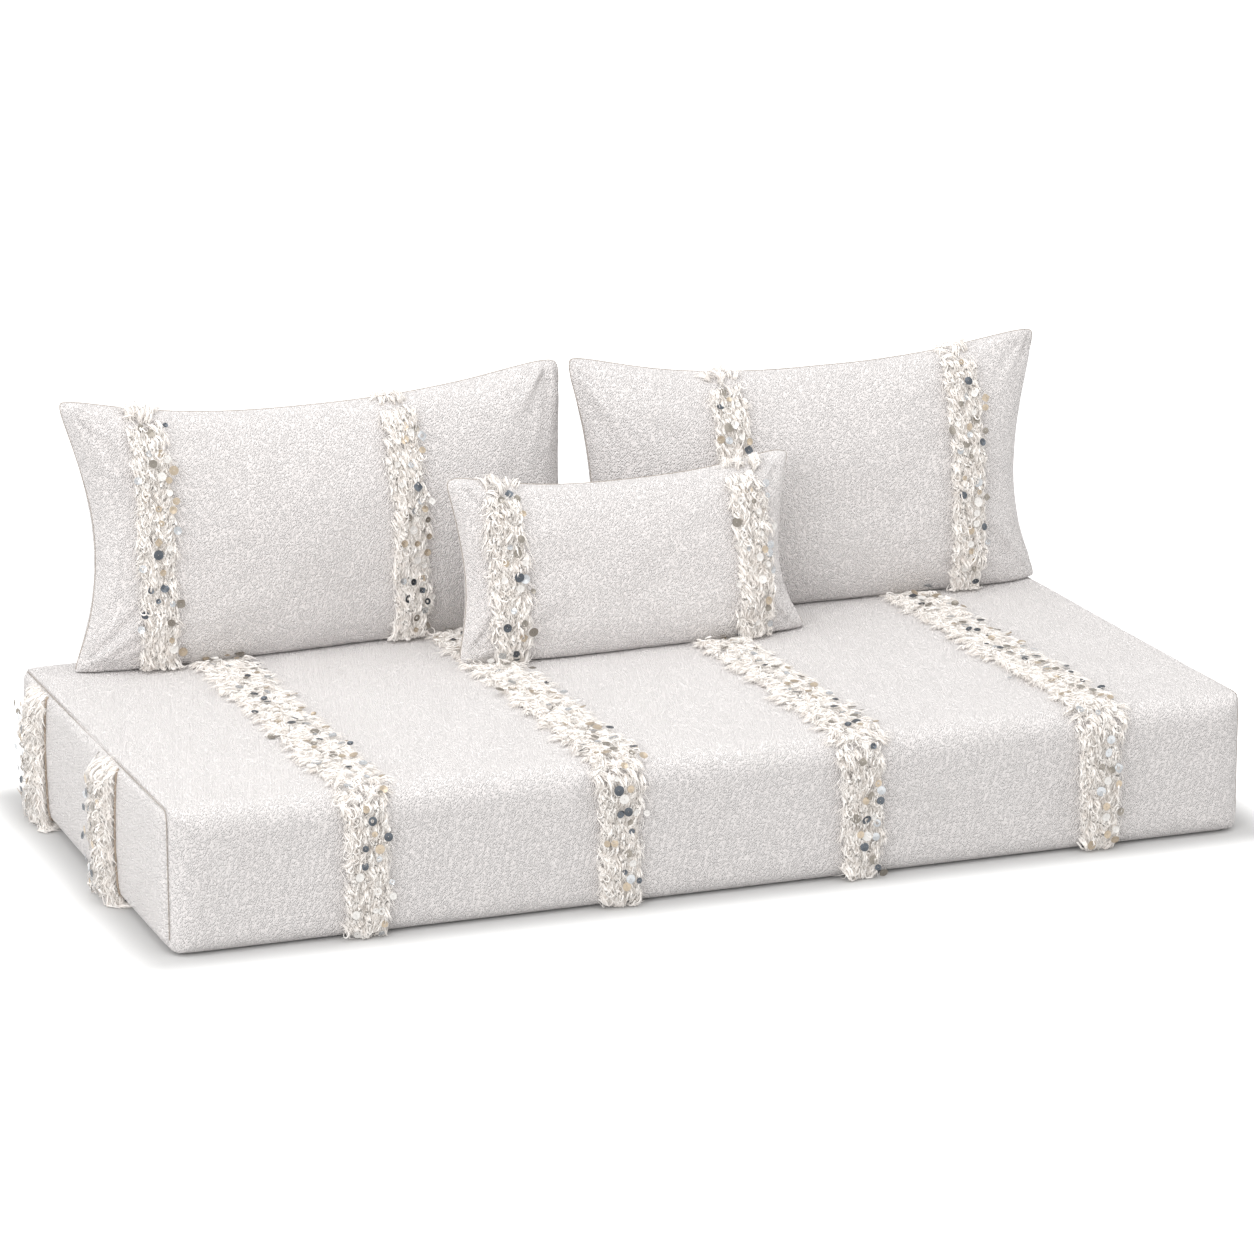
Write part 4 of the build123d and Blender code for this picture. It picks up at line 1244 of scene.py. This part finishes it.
def sequin_rings(places, ways):
    """Points and quads of cupped discs with a hole, each at a place and facing its way."""
    count = len(places)
    guide = unit(draw.normal(0, 1, (count, 3)))
    side = unit(np.cross(ways, guide))
    up = np.cross(ways, side)
    outer = np.clip(draw.normal(sequin_radius, sequin_radius_spread, count), *sequin_radius_limits)
    ring = draw.uniform(0, 1, count) < ring_share
    inner = np.where(ring, outer * ring_hole_share, sequin_hole)
    square = draw.uniform(0, 1, count) < square_share
    turn = np.arange(sequin_turns) * 2 * math.pi / sequin_turns
    blocky = (np.abs(np.cos(turn)) ** 6 + np.abs(np.sin(turn)) ** 6) ** (-1 / 6) * 0.88
    rim = np.where(square[:, None], blocky[None], 1.0) * outer[:, None]
    hole = np.repeat(inner[:, None], sequin_turns, axis=1)
    spoke = side[:, None] * np.cos(turn)[None, :, None] + up[:, None] * np.sin(turn)[None, :, None]
    rows = [
        places[:, None] + spoke * radius[..., None] + ways[:, None] * height
        for radius, height in (
            (rim, sequin_cup), (rim, sequin_cup + sequin_wall), (hole, sequin_wall), (hole, 0.0),
        )
    ]
    quads = []
    for row in range(4):
        for number in range(sequin_turns):
            after, other = (number + 1) % sequin_turns, (row + 1) % 4
            quads.append((row * sequin_turns + number, row * sequin_turns + after,
                          other * sequin_turns + after, other * sequin_turns + number))
    start = np.arange(count)[:, None, None] * 4 * sequin_turns
    points = np.stack(rows, axis=1).reshape(-1, 3)
    return points, (np.array(quads)[None] + start).reshape(-1, 4)


def scatter(length, width, stray=0.78):
    """Places along and across a band for its sequins, more of them towards its right edge."""
    spots, wanted = [], length * sequins_per_metre
    for _ in range(40 * round(wanted)):
        spot = (draw.uniform(0.01, length), draw.normal(0.22, 0.31) * width)
        if abs(spot[1]) < width * stray and all(math.dist(spot, other) > sequin_pitch for other in spots):
            spots.append(spot)
        if len(spots) >= wanted:
            break
    return np.array(spots)


def sequin_piece(name, body, node, bands, level=0.0):
    """One piece for the sequins of a node's bands: places, ways out and heights over the skin."""
    places = np.concatenate([band[0] + band[1] * band[2][:, None] for band in bands])
    places[:, 2] = np.maximum(places[:, 2], level + sequin_clearance)
    ways = np.concatenate([band[1] for band in bands])
    ways = unit(ways + draw.normal(0, 0.16, ways.shape) + [0, 0, 0.06])
    points, quads = sequin_rings(places, ways)
    piece = mesh_piece(name, points, quads, smooth=False)
    looks = draw.choice(len(sequin_looks), len(places), p=sequin_look_shares)
    for look in sequin_looks:
        piece.data.materials.append(look)
    piece.data.polygons.foreach_set("material_index", np.repeat(looks, 4 * sequin_turns))
    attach(piece, body)
    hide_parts(node)


def pile_heights(count, pile):
    """How high over the skin the sequins of a band lie."""
    return pile * draw.uniform(0.95, 1.35, count)


for number, middle in enumerate(seat_band_places):
    spots = scatter(seat_band_length, seat_band_width)
    on_top = (spots[:, 0] > seat_height) & (spots[:, 0] < seat_band_length - 0.16)
    spots[:, 1] *= np.where(on_top, 1.0, 0.68)
    roots, normals = seat_spots(middle, spots[:, 0], spots[:, 1])
    heights = pile_heights(len(roots), band_sequin_height) * np.where(normals[:, 2] > 0.75, 0.62, 1.0)
    heights = np.where(np.abs(spots[:, 1]) > seat_band_width * 0.62, heights * 0.3, heights)
    heights = np.minimum(heights, np.maximum(headroom(roots) - 0.002, 0.0006))
    band = (roots, normals, heights)
    sequin_piece(f"seat_sequin_set_{number + 1}", "seat", f"seat_sequins_{number + 1}", [band])

for side, sign in (("left", -1), ("right", 1)):
    bands = []
    for middle in end_band_places:
        spots = scatter(end_band_lengths[sign] - 0.03, end_band_width, 0.42)
        roots, normals = end_spots(sign, middle, spots[:, 0], spots[:, 1])
        bands.append((roots, normals, pile_heights(len(roots), end_sequin_height)))
    sequin_piece(f"end_sequin_set_{side}", "seat", f"end_sequins_{side}", bands)

for cushion_name, kind in cushion_kinds.items():
    bands = []
    for middle in kind["bands"]:
        band_length = cushion_band_length(kind, middle)
        spots = scatter(band_length - 0.025, cushion_band_width, 0.64)
        roots, normals = cushion_spots(kind, cushion_trees[cushion_name], middle, spots[:, 0], spots[:, 1])
        heights = pile_heights(len(roots), band_sequin_height)
        heights *= np.where(spots[:, 0] > band_length - 0.06, 0.7, 1.0)
        heights *= np.where(np.abs(spots[:, 1]) > cushion_band_width * 0.6, 0.5, 1.0)
        bands.append((roots, normals, heights))
    sequin_piece(f"{cushion_name}_sequin_set", cushion_name, f"{cushion_name}_sequins", bands, seat_surface)

# Zip parts: the moulded coil's teeth on both tapes, in two rows that mesh. The tapes, the sliders and
# the pull tabs stay as the frame has them and get their finish here.
tooth_size = (0.0013, 0.0029, 0.0020)
tooth_offset = 0.0016
stop_size = (0.003, 0.006, 0.0021)
chain_margin = 0.0035
box_corners = np.array([(x, y, z) for x in (-0.5, 0.5) for y in (-0.5, 0.5) for z in (-0.5, 0.5)])
box_sides = np.array([(0, 1, 3, 2), (4, 6, 7, 5), (0, 4, 5, 1), (2, 3, 7, 6), (0, 2, 6, 4), (1, 5, 7, 3)])


def tape_weave():
    """Zip tape: a dense twill in the cover's own tone, with painted shade in the twill's grooves."""
    tape, tree, skin = new_finish("tape_weave")
    place = place_node(tree, "TexCoord").outputs["Object"]
    twill = place_node(tree, "TexWave", {
        "Vector": place, "Scale": 420.0, "Distortion": 0.6,
    }, bands_direction="DIAGONAL").outputs["Fac"]
    # Painted shade: the tape is darker in the twill's grooves, where its relief is low.
    colour = mixed_colour(tree, twill, (0.58, 0.55, 0.51, 1), (0.78, 0.75, 0.71, 1))
    relief = place_node(tree, "Bump", {"Distance": 0.0002, "Height": twill}).outputs["Normal"]
    fill_inputs(tree, skin, {"Base Color": colour, "Normal": relief, "Roughness": 0.85})
    return tape


def blocks(middles, axes, size):
    """Small blocks, one at each middle, with their edges along the axes."""
    points = middles[:, None] + (box_corners * size @ axes)[None]
    faces = box_sides[None] + np.arange(len(middles))[:, None, None] * 8
    return points.reshape(-1, 3), faces.reshape(-1, 4)


twill_tape = tape_weave()
coil_nylon = worn_finish("coil_nylon", (0.74, 0.71, 0.67), 0.0, 0.45, 0.85, 0.25, 900.0, 2.0)
zip_nickel = worn_finish("zip_nickel", (0.62, 0.61, 0.59), 1.0, 0.3, 0.85, 0.25, 900.0, 2.0)

for zip_name in ("seat", "left_cushion", "right_cushion", "lumbar_cushion"):
    middle, along, across, out, reach = zip_frame(zip_name)
    axes = np.array([along, across, out])
    middle = middle - out * coil_depth
    steps = np.arange(-reach + chain_margin, reach - 0.003, tooth_pitch)[:, None]
    left = middle + along * steps + across * tooth_offset
    right = middle + along * (steps + tooth_pitch / 2) - across * tooth_offset
    stops = np.array([middle + along * end * (reach - 0.0015) for end in (-1, 1)])
    points, faces = blocks(np.concatenate([left, right]), axes, tooth_size)
    stop_points, stop_faces = blocks(stops, axes, stop_size)
    coil = mesh_piece(
        f"{zip_name}_zip_teeth", np.concatenate([points, stop_points]),
        np.concatenate([faces, stop_faces + len(points)]), smooth=False,
    )
    finish_piece(coil, coil_nylon, zip_name, f"{zip_name}_zip_chain")
    for part, finish, part_slot in (
        ("tapes", twill_tape, "zip_tape"), ("slider", zip_nickel, "zip_metal"),
        ("pull", zip_nickel, "zip_metal"),
    ):
        node = frame["nodes"][f"{zip_name}_zip_{part}"]
        node.data.materials.clear()
        node.data.materials.append(finish)
